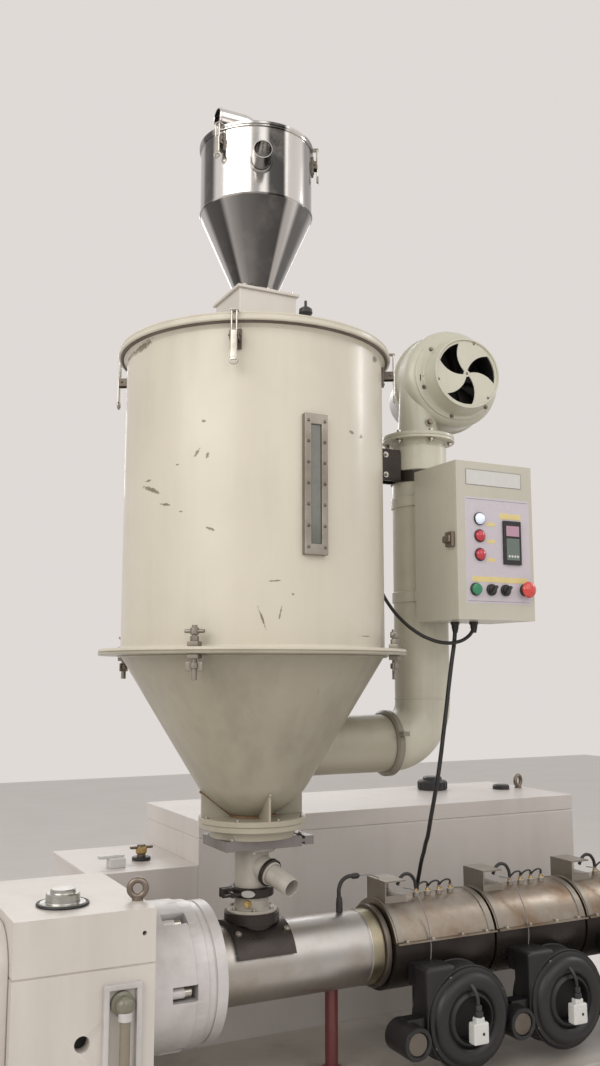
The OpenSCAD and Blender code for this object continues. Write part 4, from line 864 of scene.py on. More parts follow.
def makeToggles():
    plates, levers = bmesh.new(), bmesh.new()
    for latch in toggles.values():
        for angle in latch["angles"]:
            plate, lever = toggleLatch(*(latch[key] for key in ("wall", "out", "rim", "length", "lever")))
            merge(plates, plate, aroundZ(angle))
            merge(levers, lever, aroundZ(angle))
    newPiece("togglePlates", plates, darkSteel)
    newPiece("toggleSet", levers, boltSteel, replaces=["toggle_latches"])
    low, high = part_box("control_box")
    x, y, z = low.x, low.y, (low.z + high.z) / 2
    box = slab((x - 0.012, y - 0.002, z - 0.020), (x, y + 0.030, z + 0.020), 0.002)
    merge(box, slab((x - 0.019, y + 0.002, z - 0.010), (x - 0.010, y + 0.034, z + 0.010), 0.004))
    newPiece("boxToggle", box, ageingSteel)


# Sight window on the drum
sightWindow = {"half": 0.031, "low": 1.998, "high": 2.338, "face": 0.359, "screws": 7}


def makeSightWindow():
    half, low, high, face = (sightWindow[key] for key in ("half", "low", "high", "face"))
    back = hopper["radius"] - 0.004
    bm = bmesh.new()
    for side in (-1, 1):
        inner, outer = sorted((side * (half - 0.017), side * half))
        merge(bm, slab((inner, -face, low), (outer, -back, high), 0.002, 3))
    for z in (low, high - 0.026):
        merge(bm, slab((-half + 0.014, -face, z), (half - 0.014, -back, z + 0.026), 0.002, 3))
    newPiece("windowFrame", bm, boxSteel, replaces=["sight_window"])
    count = sightWindow["screws"]
    screws = bmesh.new()
    for i in range(count):
        z = low + 0.018 + (high - low - 0.036) * i / (count - 1)
        for side in (-1, 1):
            merge(screws, panScrew(0.0042), facing((side * (half - 0.009), -face, z), (0, -1, 0)))
    newPiece("windowScrews", screws, darkSteel)
    pane = slab((-half + 0.0165, -face + 0.005, low + 0.024),
                (half - 0.0165, -face + 0.010, high - 0.024), 0.001)
    newPiece("windowPane", pane, windowGlass, replaces=["sight_glass"])


# Vacuum loader of polished steel
loader = {
    "radius": 0.155, "low": 2.745, "bodyLow": 2.980, "top": 3.175, "outlet": 0.055,
    "inletTurn": -20, "inletHeight": 3.068, "portRadius": 0.025, "steps": 144,
}


def makeLoader():
    r, low, body, top = (loader[key] for key in ("radius", "low", "bodyLow", "top"))
    out, steps = loader["outlet"], loader["steps"]
    cone = turned([
        (out, low + 0.008), (out + 0.022, low + 0.008), (out + 0.022, low), (out, low),
        (out - 0.0025, low), (out - 0.0025, low + 0.010), (r - 0.004, body + 0.0005),
        (r, body + 0.0005), (r - 0.001, body - 0.003), (out + 0.003, low + 0.012)], steps, closed=True)
    newPiece("loaderConeShell", cone, loaderConePaintedReflection, replaces=["loader_cone"])
    shell = turned([
        (r - 0.002, body), (r, body), (r, body + 0.07), (r, body + 0.14), (r, top - 0.006),
        (r + 0.004, top - 0.004), (r + 0.0045, top - 0.001), (r - 0.002, top)], steps, closed=True)
    merge(shell, bead(r, 0.0028, body + 0.002, steps, 8))
    port = ring(loader["portRadius"], loader["portRadius"] - 0.0025, 0.082, 0.0008, 40)
    merge(port, ring(loader["portRadius"] + 0.005, loader["portRadius"] + 0.0003, 0.020, 0.0012, 40))
    merge(port, bead(loader["portRadius"] + 0.004, 0.0025, 0.013, 40, 8))
    portPlace = facing((0, -r + 0.012, loader["inletHeight"]), (0, -1, 0))
    merge(shell, port, aroundZ(loader["inletTurn"]) @ portPlace)
    newPiece("loaderBodyShell", shell, loaderPaintedReflection, replaces=["loader_body"])
    lid = turned([
        (0.024, top + 0.024), (0.090, top + 0.024), (r - 0.012, top + 0.012), (r - 0.008, top + 0.010),
        (r + 0.003, top + 0.010), (r + 0.005, top + 0.008), (r + 0.005, top + 0.002),
        (r + 0.003, top + 0.0005), (0.024, top + 0.0005)], steps, closed=True)
    newPiece("loaderLidShell", lid, loaderPaintedReflection, replaces=["loader_lid"])


# Elbow on the loader's lid, with its port
vacuumElbow = {"foot": 3.199, "bend": 0.046, "radius": 0.025, "portLength": 0.075}


def makeVacuumElbow():
    foot, bend, r = vacuumElbow["foot"], vacuumElbow["bend"], vacuumElbow["radius"]
    bm = turned([(r, 0), (r + 0.013, 0), (r + 0.014, 0.001), (r + 0.014, 0.005), (r + 0.012, 0.006),
                 (r + 0.003, 0.006), (r, 0.010), (r - 0.0025, 0.010), (r - 0.0025, 0)], 48, closed=True)
    move(bm, shift(0, 0, foot))
    turn = bmesh.new()
    bmesh.ops.create_circle(turn, segments=40, radius=r, matrix=shift(0, 0, foot + 0.010))
    bmesh.ops.spin(turn, geom=turn.verts[:] + turn.edges[:], cent=(-bend, 0, foot + 0.010), axis=(0, -1, 0),
                   dvec=(0, 0, 0), angle=math.pi / 2, steps=20, use_merge=False)
    bmesh.ops.recalc_face_normals(turn, faces=turn.faces)
    merge(bm, turn)
    port = ring(r, r - 0.0025, vacuumElbow["portLength"] + 0.0005, 0.0008, 40)
    merge(port, bead(r, 0.0016, vacuumElbow["portLength"] - 0.006, 40, 8))
    merge(bm, port, facing((-bend + 0.0005, 0, foot + 0.010 + bend), (-1, 0, 0)))
    newPiece("vacuumElbowPipe", bm, polishedSteel, replaces=["vacuum_elbow"])
    bolts = bmesh.new()
    for i in range(3):
        merge(bolts, bolt(0.006), aroundZ(120 * i + 30) @ shift(0.034, 0, foot + 0.006))
    newPiece("elbowBolts", bolts, boltSteel)


# Heater tube and hot air elbow
heater = {"x": 0.530, "radius": 0.078, "bend": 0.110, "low": 1.530, "top": 2.400, "flange": 0.106,
          "band": 0.406}


def makeHeater():
    x, r, bend, wide = heater["x"], heater["radius"], heater["bend"], heater["flange"]
    foot, top = heater["low"] + bend, heater["top"]
    bm = turned([
        (0, foot), (r, foot), (r, foot + 0.10), (r, foot + 0.25), (r, foot + 0.40), (r, foot + 0.55),
        (r, top - 0.016), (r + 0.003, top - 0.010), (r + 0.008, top - 0.008), (wide - 0.001, top - 0.008),
        (wide, top - 0.007), (wide, top - 0.001), (wide - 0.001, top - 0.0003),
        (0, top - 0.0003)], 96)
    merge(bm, bead(r, 0.0018, foot + 0.012, 96, 8))
    move(bm, shift(x, 0, 0))
    newPiece("heaterTubeShell", bm, ductPaint, replaces=["heater_tube"])
    turn = bmesh.new()
    bmesh.ops.create_circle(turn, segments=72, radius=r, cap_ends=False,
                            matrix=shift(x, 0, foot + 0.0005))
    bmesh.ops.spin(turn, geom=turn.verts[:] + turn.edges[:], cent=(x - bend, 0, foot + 0.0005),
                   axis=(0, 1, 0), dvec=(0, 0, 0), angle=math.pi / 2, steps=24, use_merge=False)
    bmesh.ops.recalc_face_normals(turn, faces=turn.faces)
    bmesh.ops.holes_fill(turn, edges=turn.edges, sides=80)
    newPiece("airElbowShell", turn, ductPaint, replaces=["air_elbow"])


def makeDuctClamps():
    x, r, low = heater["x"], heater["radius"], heater["low"]
    drum = hopper["radius"]
    band = turned([(r + 0.0005, -0.012), (r + 0.006, -0.012), (r + 0.012, -0.007), (r + 0.012, 0.007),
                   (r + 0.006, 0.012), (r + 0.0005, 0.012)], 72, closed=True)
    move(band, facing((heater["band"], 0, low), (1, 0, 0)))
    lug = slab((-0.010, -0.022, -0.006), (0.010, 0.002, 0.006), 0.001)
    merge(band, lug, shift(heater["band"], -r - 0.008, low + 0.03))
    newPiece("elbowClamp", band, clampPaint)
    boxLow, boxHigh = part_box("control_box")
    straps = bmesh.new()
    for z in (boxLow.z + 0.060, boxHigh.z - 0.090):
        merge(straps, ring(r + 0.004, r + 0.0003, 0.030, 0.001, 72), shift(x, 0, z))
        merge(straps, slab((x - 0.060, boxHigh.y, z), (x + 0.060, -r + 0.030, z + 0.030), 0.002))
    tieLow, tieHigh = heater["top"] - 0.132, heater["top"] - 0.040
    merge(straps, ring(r + 0.0035, r + 0.0003, 0.072, 0.001, 72), shift(x, 0, tieLow + 0.034))
    newPiece("boxStraps", straps, ductPaint)
    bm = ring(r + 0.005, r + 0.0003, 0.032, 0.001, 72)
    move(bm, shift(x, 0, tieLow))
    for y in (-0.030, 0.020):
        merge(bm, slab((drum + 0.001, y, tieLow), (x - r - 0.002, y + 0.010, tieHigh), 0.002))
    merge(bm, slab((drum - 0.002, -0.034, tieLow - 0.004), (drum + 0.005, 0.034, tieHigh + 0.004), 0.001))
    newPiece("ductStraps", bm, darkCasting, replaces=["duct_clamps"])
    bolts = bmesh.new()
    for side in (-1, 1):
        for z in (tieLow + 0.016, tieHigh - 0.018):
            merge(bolts, bolt(0.010, 0.01), facing(((drum + x - r) / 2, side * 0.030, z), (0, side, 0)))
    for angle in range(20, 380, 60):
        turn = aroundZ(angle, (x, 0, 0))
        merge(bolts, bolt(0.013), turn @ shift(x + 0.092, 0, heater["top"] + 0.010))
        merge(bolts, bolt(0.013, 0.012), turn @ facing((x + 0.092, 0, heater["top"] - 0.008), (0, 0, -1)))
    newPiece("ductBolts", bolts, boltSteel)


# Blower: cast scroll, inlet guard and motor, turned on the heater tube
blower = {
    "x": 0.634, "z": 2.585, "halfWidth": 0.062, "radius": 0.142, "growth": 0.018, "turn": -8.0,
    "edge": 0.030, "inlet": 0.093, "recess": 0.030, "collar": 0.101, "guardFace": 0.112,
}
onTube = aroundZ(blower["turn"], (heater["x"], 0, 0))
blowerFront = onTube @ facing((blower["x"], 0, blower["z"]), (0, -1, 0))
blowerBack = onTube @ facing((blower["x"], 0, blower["z"]), (0, 1, 0))


# Widens a full disc into a scroll: the radius grows as it turns to the outlet's side.
def spreadScroll(bm):
    for vert in bm.verts:
        radius = math.hypot(vert.co.x, vert.co.y)
        if radius > 0.098:
            angle = math.degrees(math.atan2(vert.co.y, vert.co.x))
            share = min(max(angle / 180, 0.0), 1.0) if angle > -90 else (-90 - angle) / 90
            fade = min((radius - 0.098) / 0.02, 1.0)
            factor = 1 + blower["growth"] / blower["radius"] * share * fade
            vert.co.x *= factor
            vert.co.y *= factor


# Outlet neck: rings of (height, centre, half width, half depth) from the round flange up into the scroll
neckRings = ((0.000, 0.530, 0.064, 0.062), (0.018, 0.530, 0.060, 0.058), (0.050, 0.530, 0.058, 0.053),
             (0.090, 0.531, 0.057, 0.049), (0.130, 0.532, 0.0575, 0.047), (0.175, 0.533, 0.058, 0.046))


def makeNeck():
    bm = bmesh.new()
    level = heater["top"] + 0.0095
    bmesh.ops.create_circle(bm, segments=56, radius=1.0)
    loop = bm.edges[:]
    for step, (height, centre, width, depth) in enumerate(neckRings):
        verts = bm.verts[:]
        if step:
            grown = bmesh.ops.extrude_edge_only(bm, edges=loop)
            verts = [g for g in grown["geom"] if isinstance(g, bmesh.types.BMVert)]
            loop = [g for g in grown["geom"] if isinstance(g, bmesh.types.BMEdge)]
        for vert in verts:
            away = Vector((vert.co.x - (neckRings[step - 1][1] if step else 0), vert.co.y)).normalized()
            vert.co = (centre + away.x * width, away.y * depth, level + height)
    bmesh.ops.holes_fill(bm, edges=bm.edges, sides=60)
    bmesh.ops.recalc_face_normals(bm, faces=bm.faces)
    return bm


def makeBlower():
    r, w, e, inlet = blower["radius"], blower["halfWidth"], blower["edge"], blower["inlet"]
    rim, face, floor = blower["collar"], blower["guardFace"], w - blower["recess"]
    tubeX, tubeTop = heater["x"], heater["top"]
    arc = [(r - e + e * math.sin(math.radians(a)), e - w - e * math.cos(math.radians(a)))
           for a in range(0, 91, 15)]
    profile = [(0, -w), (0.05, -w), (0.097, -w)] + arc
    profile += [(radius, -height) for radius, height in reversed(arc)]
    profile += [(0.099, w), (inlet + 0.002, w), (inlet, w - 0.002), (inlet, floor), (0, floor)]
    bm = turned(profile, 120)
    # parting flange of the two cast halves, near the back
    merge(bm, turned([(r - 0.03, -0.044), (r + 0.004, -0.044), (r + 0.005, -0.042), (r + 0.005, -0.036),
                      (r + 0.004, -0.034), (r - 0.03, -0.034)], 120, closed=True))
    # cast step round the inlet
    merge(bm, turned([(0.106, w - 0.006), (r - 0.016, w - 0.006), (r - 0.018, w + 0.001),
                      (r - 0.020, w + 0.0018), (0.107, w + 0.0018)], 120, closed=True))
    spreadScroll(bm)
    move(bm, blowerFront)
    merge(bm, makeNeck(), onTube)
    merge(bm, bar(heater["flange"], 0.010, 0.0015, 72), onTube @ shift(tubeX, 0, tubeTop))
    # foot of the casting where the neck meets its flange, and the lug on the neck's front
    merge(bm, bead(0.066, 0.006, tubeTop + 0.011, 56, 10), onTube @ shift(tubeX, 0, 0))
    lug = facing((tubeX + 0.008, -0.046, tubeTop + 0.046), (0, -1, 0))
    merge(bm, bar(0.0125, 0.016, 0.003, 24), onTube @ lug)
    newPiece("blowerScroll", bm, castPaint, replaces=["blower_housing"], smooth=40)
    collar = turned([
        (inlet, w - 0.004), (rim + 0.020, w - 0.004), (rim + 0.013, w + 0.003), (rim + 0.009, w + 0.010),
        (rim, face - 0.001), (rim - 0.001, face), (inlet + 0.001, face), (inlet, face - 0.001)],
        96, closed=True)
    move(collar, blowerFront)
    newPiece("blowerCollar", collar, castPaint, replaces=["inlet_collar"])
    dark = ring(inlet - 0.0005, inlet - 0.002, face - floor - 0.004, 0.0004, 64)
    merge(dark, bar(inlet - 0.001, 0.003, 0.001, 64))
    move(dark, blowerFront @ shift(0, 0, floor + 0.0005))
    newPiece("inletShadow", dark, openingShadeBlack)
    # dark slot and hole on the scroll's front: painted shade
    marks = slab((-0.0018, -0.010, 0), (0.0018, 0.010, 0.0008), 0.0003, 1)
    move(marks, blowerFront @ shift(-0.124, -0.010, w + 0.0010))
    merge(marks, bar(0.0030, 0.0016, 0.0004, 20), blowerFront @ shift(-0.113, -0.004, w + 0.0010))
    newPiece("scrollSlots", marks, openingShadeBlack)


# Impeller behind the guard
impeller = {"hub": 0.026, "reach": 0.086, "blades": 10}


def makeImpeller():
    bm = turned([(0, 0.024), (0.012, 0.023), (0.022, 0.014), (impeller["hub"], 0), (0, 0)], 40)
    for i in range(impeller["blades"]):
        blade = slab((impeller["hub"] - 0.004, -0.001, 0), (impeller["reach"], 0.001, 0.016), 0.0005)
        bmesh.ops.rotate(blade, verts=blade.verts, cent=(0, 0, 0), matrix=Matrix.Rotation(0.5, 3, "X"))
        merge(bm, blade, aroundZ(360 / impeller["blades"] * i))
    back = blower["halfWidth"] - blower["recess"] + 0.006
    move(bm, blowerFront @ shift(0, 0, back))
    newPiece("blowerImpeller", bm, darkCasting)


def makeGuard():
    softened("blower_guard", 0.0012, 2, castPaint)
    screws = bmesh.new()
    face, step = blower["guardFace"] + 0.004, blower["halfWidth"] + 0.0016
    for angle in (75, 195, 315):
        merge(screws, panScrew(0.0040), blowerFront @ aroundZ(angle) @ shift(0.0945, 0, face))
    merge(screws, panScrew(0.0045), blowerFront @ shift(0, 0, face))
    for angle in range(18, 378, 60):
        merge(screws, bolt(0.008), blowerFront @ aroundZ(angle) @ shift(0.119, 0, step))
    lug = facing((heater["x"] + 0.008, -0.062, heater["top"] + 0.046), (0, -1, 0))
    merge(screws, bolt(0.012, 0.006), onTube @ lug)
    newPiece("guardScrews", screws, ageingSteel)


def makeBlowerMotor():
    back = blowerBack @ shift(0, 0, blower["halfWidth"])
    bm = turned([(0, 0.001), (0.094, 0.001), (0.096, 0.003), (0.096, 0.010), (0.094, 0.012), (0.074, 0.014),
                 (0.072, 0.018), (0.072, 0.138), (0.078, 0.141), (0.082, 0.146), (0.082, 0.190),
                 (0.078, 0.196), (0.066, 0.200), (0, 0.200)], 72)
    for i in range(30):
        fin = slab((0.070, -0.0012, 0.020), (0.0755, 0.0012, 0.138), 0.0006, 1)
        merge(bm, fin, aroundZ(12 * i))
    move(bm, back)
    x, y, z = blower["x"], blower["halfWidth"], blower["z"]
    merge(bm, slab((x - 0.045, y + 0.030, z + 0.060), (x + 0.045, y + 0.120, z + 0.105), 0.004, 3), onTube)
    merge(bm, slab((x - 0.045, y + 0.0305, z + 0.1045), (x + 0.045, y + 0.1195, z + 0.112), 0.002), onTube)
    newPiece("blowerMotorBody", bm, silverPaint, replaces=["blower_motor"])
    # dark slabs for the slots of the motor's cowl: painted shade in the slots
    slots = bmesh.new()
    for i in range(12):
        for radius in (0.030, 0.050):
            slot = slab((radius - 0.007, -0.0025, 0.198), (radius + 0.007, 0.0025, 0.2006), 0.0003, 1)
            merge(slots, slot, back @ aroundZ(30 * i))
    newPiece("motorCowlSlots", slots, openingShadeBlack)


# Control box with its door and what is on it
controlPanel = {
    "title": (0.492, 0.676, 2.223, 2.264),       # left, right, low, high
    "sheet": (0.486, 0.702, 1.905, 2.190),
    "lamps": ((0.532, 2.131, "white"), (0.532, 2.085, "red"), (0.532, 2.035, "red")),
    "display": (0.609, 0.668, 2.012, 2.131),
    "buttons": ((0.515, 1.942), (0.566, 1.942), (0.613, 1.942)),
    "stop": (0.679, 1.945),
    "buttonLabel": (0.506, 0.690, 1.962, 1.977),
    "face": -0.280,
    "glands": ((0.541, -0.150), (0.582, -0.180)),   # where the cables enter from below
    "sealWidth": 0.012,
}


def makeControlBox():
    softened("control_box", 0.0025, 3, boxPaint)
    softened("control_door", 0.0035, 3, boxPaint)
    low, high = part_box("control_door")
    seal, wide = bmesh.new(), controlPanel["sealWidth"]
    left, right, bottom, top = low.x + 0.002, 0.711, low.z + 0.002, high.z - 0.002
    for x0, x1, z0, z1 in ((left, left + wide, bottom, top), (right - wide, right, bottom, top),
                           (left + wide, right - wide, bottom, bottom + wide),
                           (left + wide, right - wide, top - wide, top)):
        merge(seal, slab((x0, high.y - 0.0145, z0), (x1, high.y + 0.0006, z1), 0.0008, 1))
    newPiece("doorSeal", seal, cableRubber, body="door")
    feet, foot = bmesh.new(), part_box("control_box")[0].z
    for x, y in controlPanel["glands"]:
        merge(feet, hexHead(0.022, 0.008), facing((x, y, foot), (0, 0, -1)))
        nut = turned([(0.0066, 0), (0.010, 0), (0.010, 0.006), (0.0075, 0.018), (0.0066, 0.022)], 24,
                     closed=True)
        merge(feet, nut, facing((x, y, foot - 0.008), (0, 0, -1)))
    newPiece("cableGlands", feet, blackPlastic)


def onDoor(x, z, out=0.0):
    return facing((x, controlPanel["face"] - out, z), (0, -1, 0))


# Flat print or plate on the door's front: how far it stands out and how thick it is.
def printed(left, right, low, high, proud=0.0010, thick=0.0006, edge=0.0002):
    front = controlPanel["face"] - proud
    return slab((left, front, low), (right, front + thick, high), edge, 1)


def doorPiece(name, bm, material, replaces=()):
    return newPiece(name, bm, material, "door", replaces)


# Domed lens of a lamp.
def pushLens(radius, proud):
    return turned([(0, proud), (radius * 0.5, proud * 0.93), (radius * 0.85, proud * 0.7),
                   (radius, proud * 0.35), (radius, 0), (0, 0)], 40)


def makePanel():
    face = controlPanel["face"]
    sheet = printed(*controlPanel["sheet"], 0.0006, 0.0010, 0.0003)
    doorPiece("panelSheet", sheet, panelLilac)
    left, right, low, high = controlPanel["sheet"]
    lines = bmesh.new()
    for z in (low + 0.006, high - 0.006):
        merge(lines, printed(left + 0.004, right - 0.004, z - 0.0006, z + 0.0006, 0.0009, edge=0.0001))
    left, right, low, high = controlPanel["title"]
    for x in (left, right):
        merge(lines, printed(x - 0.0006, x + 0.0006, low, high, 0.0011, edge=0.0001))
    for z in (low, high):
        merge(lines, printed(left, right, z - 0.0006, z + 0.0006, 0.0011, edge=0.0001))
    doorPiece("panelLines", lines, printGrey)
    title = printed(left, right, low, high, 0.0008, 0.0012, 0.0003)
    doorPiece("titlePlate", title, whitePlastic)

    bezels, labels = bmesh.new(), bmesh.new()
    lensOf = {"white": (lampWhite, []), "red": (lampRed, [])}
    for x, z, colour in controlPanel["lamps"]:
        merge(bezels, ring(0.0172, 0.0150, 0.006, 0.0012, 40), onDoor(x, z))
        lensOf[colour][1].append(onDoor(x, z))
        merge(labels, printed(x + 0.024, x + 0.052, z - 0.018, z - 0.008))
    for colour, (material, places) in lensOf.items():
        lenses = bmesh.new()
        for place in places:
            merge(lenses, pushLens(0.0155, 0.015), place)
        doorPiece("lamps_" + colour, lenses, material)
    green, *selectors = controlPanel["buttons"]
    merge(bezels, ring(0.0172, 0.0148, 0.007, 0.0012, 40), onDoor(*green))
    button = bar(0.0152, 0.013, 0.003, 40)
    move(button, onDoor(*green))
    doorPiece("startButton", button, buttonGreen)
    for x, z in selectors:
        merge(bezels, ring(0.0155, 0.0095, 0.008, 0.0012, 40), onDoor(x, z))
        merge(bezels, bar(0.0115, 0.012, 0.002, 32), onDoor(x, z))
        handle = slab((-0.0035, -0.0125, 0.008), (0.0035, 0.0125, 0.022), 0.0015)
        merge(bezels, handle, onDoor(x, z) @ Matrix.Rotation(-0.7, 4, "Z"))
    stop = onDoor(*controlPanel["stop"])
    merge(bezels, ring(0.0170, 0.0100, 0.009, 0.0012, 40), stop)
    merge(bezels, bar(0.0105, 0.020, 0.001, 32), stop)
    mushroom = turned([(0, 0.031), (0.011, 0.030), (0.018, 0.027), (0.0215, 0.0225), (0.0222, 0.019),
                       (0.0210, 0.0175), (0.010, 0.0175), (0, 0.0175)], 48)
    move(mushroom, stop)
    doorPiece("stopButton", mushroom, buttonRed)
    left, right, low, high = controlPanel["display"]
    merge(bezels, slab((left, face - 0.008, low), (right, face, high), 0.002, 3))
    doorPiece("panelBezels", bezels, blackPlastic, ["door_controls"])
    merge(labels, printed(left - 0.008, right + 0.004, high + 0.004, high + 0.020))
    merge(labels, printed(*controlPanel["buttonLabel"]))
    doorPiece("yellowLabels", labels, labelYellow)
    for name, bottom, top, material in (("displayTop", high - 0.042, high - 0.014, screenPink),
                                        ("displayKeypad", low + 0.012, high - 0.048, screenGreen)):
        screen = printed(left + 0.008, right - 0.008, bottom, top, 0.0086, 0.0010, 0.0003)
        doorPiece(name, screen, material)
    keys = bmesh.new()
    for i in range(4):
        merge(keys, bar(0.0035, 0.0015, 0.0004, 20), onDoor(left + 0.0155 + 0.0095 * i, low + 0.022, 0.0084))
    doorPiece("displayKeys", keys, whitePlastic)


for make in (makeDrum, makeCone, makeLid, makeAdaptor, makeJointClamps, makeToggles, makeSightWindow):
    make()
print("hopper dressed")
for make in (makeLoader, makeVacuumElbow):
    make()
print("loader dressed")
for make in (makeHeater, makeDuctClamps, makeBlower, makeImpeller, makeGuard, makeBlowerMotor):
    make()
print("blower and heater dressed")
makeControlBox()
makePanel()
print("control box dressed")

# Feed stack under the hopper: foot ring, slide gate, feed pipe and throat
feedStack = {"throatTop": 1.126, "gateLow": 1.286, "gateTop": 1.3105, "pipeRadius": 0.044, "spigotTurn": 20.0,
             "spigotDip": 20.0, "spigotHeight": 1.250, "spigotRadius": 0.024, "spigotLength": 0.150}


def spigotPlace(along):
    turn = Matrix.Rotation(math.radians(feedStack["spigotTurn"]), 4, "Z")
    lean = Matrix.Rotation(math.radians(90 + feedStack["spigotDip"]), 4, "X")
    return shift(0, 0, feedStack["spigotHeight"]) @ turn @ lean @ shift(0, 0, along)


def makeFeedStack():
    low, high, r = feedStack["throatTop"], feedStack["gateLow"], feedStack["pipeRadius"]
    spigot, length = feedStack["spigotRadius"], feedStack["spigotLength"]
    bm = turned([
        (r - 0.006, low), (0.062, low), (0.064, low + 0.002), (0.064, low + 0.006), (0.062, low + 0.008),
        (r + 0.006, low + 0.008), (r + 0.001, low + 0.012), (r, low + 0.02), (r, high - 0.020),
        (r + 0.001, high - 0.012), (r + 0.006, high - 0.008), (0.062, high - 0.008), (0.064, high - 0.006),
        (0.064, high - 0.001), (r - 0.006, high)], 72, closed=True)
    merge(bm, ring(spigot, spigot - 0.003, length - 0.030, 0.0006, 40), spigotPlace(0.030))
    merge(bm, ring(spigot + 0.006, spigot + 0.0003, 0.048, 0.0015, 40), spigotPlace(0.030))
    newPiece("feedPipeShell", bm, pipePaint, replaces=["feed_pipe"])
    bolts = bmesh.new()
    for angle in range(12, 372, 60):
        for z, way in ((low + 0.008, 1), (high - 0.008, -1)):
            merge(bolts, bolt(0.009), aroundZ(angle) @ facing((0.055, 0, z), (0, 0, way)))
    gateTop = feedStack["gateTop"]
    for side in (-1, 1):
        for x in (-0.085, -0.05, 0.05, 0.085):
            merge(bolts, bolt(0.009), shift(x, side * 0.071, gateTop + 0.001))
    for angle in range(5, 365, 45):
        place = aroundZ(angle) @ shift(0.131, 0, hopper["footHeight"])
        merge(bolts, bolt(0.013), place @ Matrix.Scale(0.6, 4))
    for y in (-0.030, 0.030):
        merge(bolts, bolt(0.008), shift(0.122, y, gateTop))
    newPiece("feedStackBolts", bolts, boltSteel)


def makeFeedClamps():
    z, r = feedStack["throatTop"] + 0.038, feedStack["pipeRadius"]
    bm = ring(r + 0.012, r + 0.0004, 0.024, 0.003, 60)
    move(bm, shift(0, 0, z))
    for y in (-0.0075, 0.0075):
        merge(bm, slab((-r - 0.042, y - 0.0045, z), (-r - 0.004, y + 0.0045, z + 0.024), 0.003, 3))
    merge(bm, bar(0.005, 0.052, 0.001, 16), facing((-r - 0.026, 0.024, z + 0.012), (0, -1, 0)))
    merge(bm, slab((-r - 0.030, -0.046, z + 0.005), (-r - 0.022, -0.026, z + 0.019), 0.003))
    merge(bm, slab((-r - 0.048, -0.043, z + 0.009), (-r - 0.004, -0.037, z + 0.015), 0.002))
    merge(bm, ring(0.035, 0.0303, 0.012, 0.0015, 40), spigotPlace(0.062))
    newPiece("pipeClampSet", bm, darkCasting, replaces=["feed_pipe_clamps"])
    plate = turned([(0, 0), (0.0085, 0), (0.0090, 0.0008), (0.0085, 0.0020), (0, 0.0022)], 32)
    bmesh.ops.scale(plate, vec=(2.0, 1.0, 1.0), verts=plate.verts)
    out = Vector((-0.55, -0.83, 0)).normalized()
    move(plate, facing(Vector((0, 0, z + 0.012)) + out * (r + 0.0116), out))
    newPiece("clampPlate", plate, satinSteel)
    fitting = hexHead(0.017, 0.010)
    merge(fitting, bar(0.006, 0.020, 0.001, 20))
    side = Vector((-0.60, -0.80, 0)).normalized()
    move(fitting, facing(Vector((0, 0, feedStack["throatTop"] + 0.024)) + side * (r - 0.001), side))
    newPiece("pipeFitting", fitting, brassMetal)


# Gearbox: bolts, cap, lifting eye, gauge and the socket screws of the flange
gearbox = {"left": -0.640, "right": -0.330, "front": -0.220, "top": 1.210, "split": 1.094, "base": 0.700,
           "centre": 1.000, "cap": (-0.509, -0.100), "eye": (-0.346, -0.133), "flangeScrews": 6}


def liftingEye(ringRadius, wire):
    bm = turned([(0, 0), (wire * 1.8, 0), (wire * 1.8, wire * 0.7), (wire * 1.3, wire * 1.2),
                 (0, wire * 1.3)], 28)
    eye = bead(ringRadius, wire, 0, 40, 14)
    merge(bm, eye, facing((0, 0, wire * 0.6 + ringRadius + wire / 2), (0, 1, 0)))
    return bm


def makeGearboxFittings():
    top, left = gearbox["top"], gearbox["left"]
    bm = turned([(0, 0), (0.042, 0), (0.042, 0.004), (0.040, 0.006), (0.031, 0.006), (0.030, 0.008),
                 (0.030, 0.022), (0.028, 0.024), (0.023, 0.024), (0.022, 0.026), (0.022, 0.030),
                 (0.020, 0.032), (0, 0.032)], 48)
    bmesh.ops.scale(bm, vec=(1.26, 1.26, 1.1), verts=bm.verts)
    move(bm, shift(*gearbox["cap"], top))
    newPiece("gearboxCap", bm, satinSteel, replaces=["gearbox_fittings"])
    eye = liftingEye(0.0182, 0.0072)
    move(eye, shift(*gearbox["eye"], top) @ aroundZ(-18))
    newPiece("gearboxEye", eye, ageingSteel)
    # Black ring round the cap's foot: a rubber seal, with the dirt and painted shade round the cap.
    seal = bead(0.0555, 0.0036, 0.003, 48, 8)
    move(seal, shift(*gearbox["cap"], top))
    newPiece("capSealAndShade", seal, cableRubber)
    screws = bmesh.new()
    for x in (left + 0.040, left + 0.155, left + 0.270):
        for side in (-1, 1):
            merge(screws, bolt(0.018), shift(x, side * (0.014 - gearbox["front"]), gearbox["base"] + 0.032))
    for y in (-0.16, -0.08, 0.08, 0.16):
        merge(screws, bolt(0.018), facing((left - 0.001, y, gearbox["split"] - 0.02), (-1, 0, 0)))
    newPiece("gearboxScrews", screws, boltSteel)


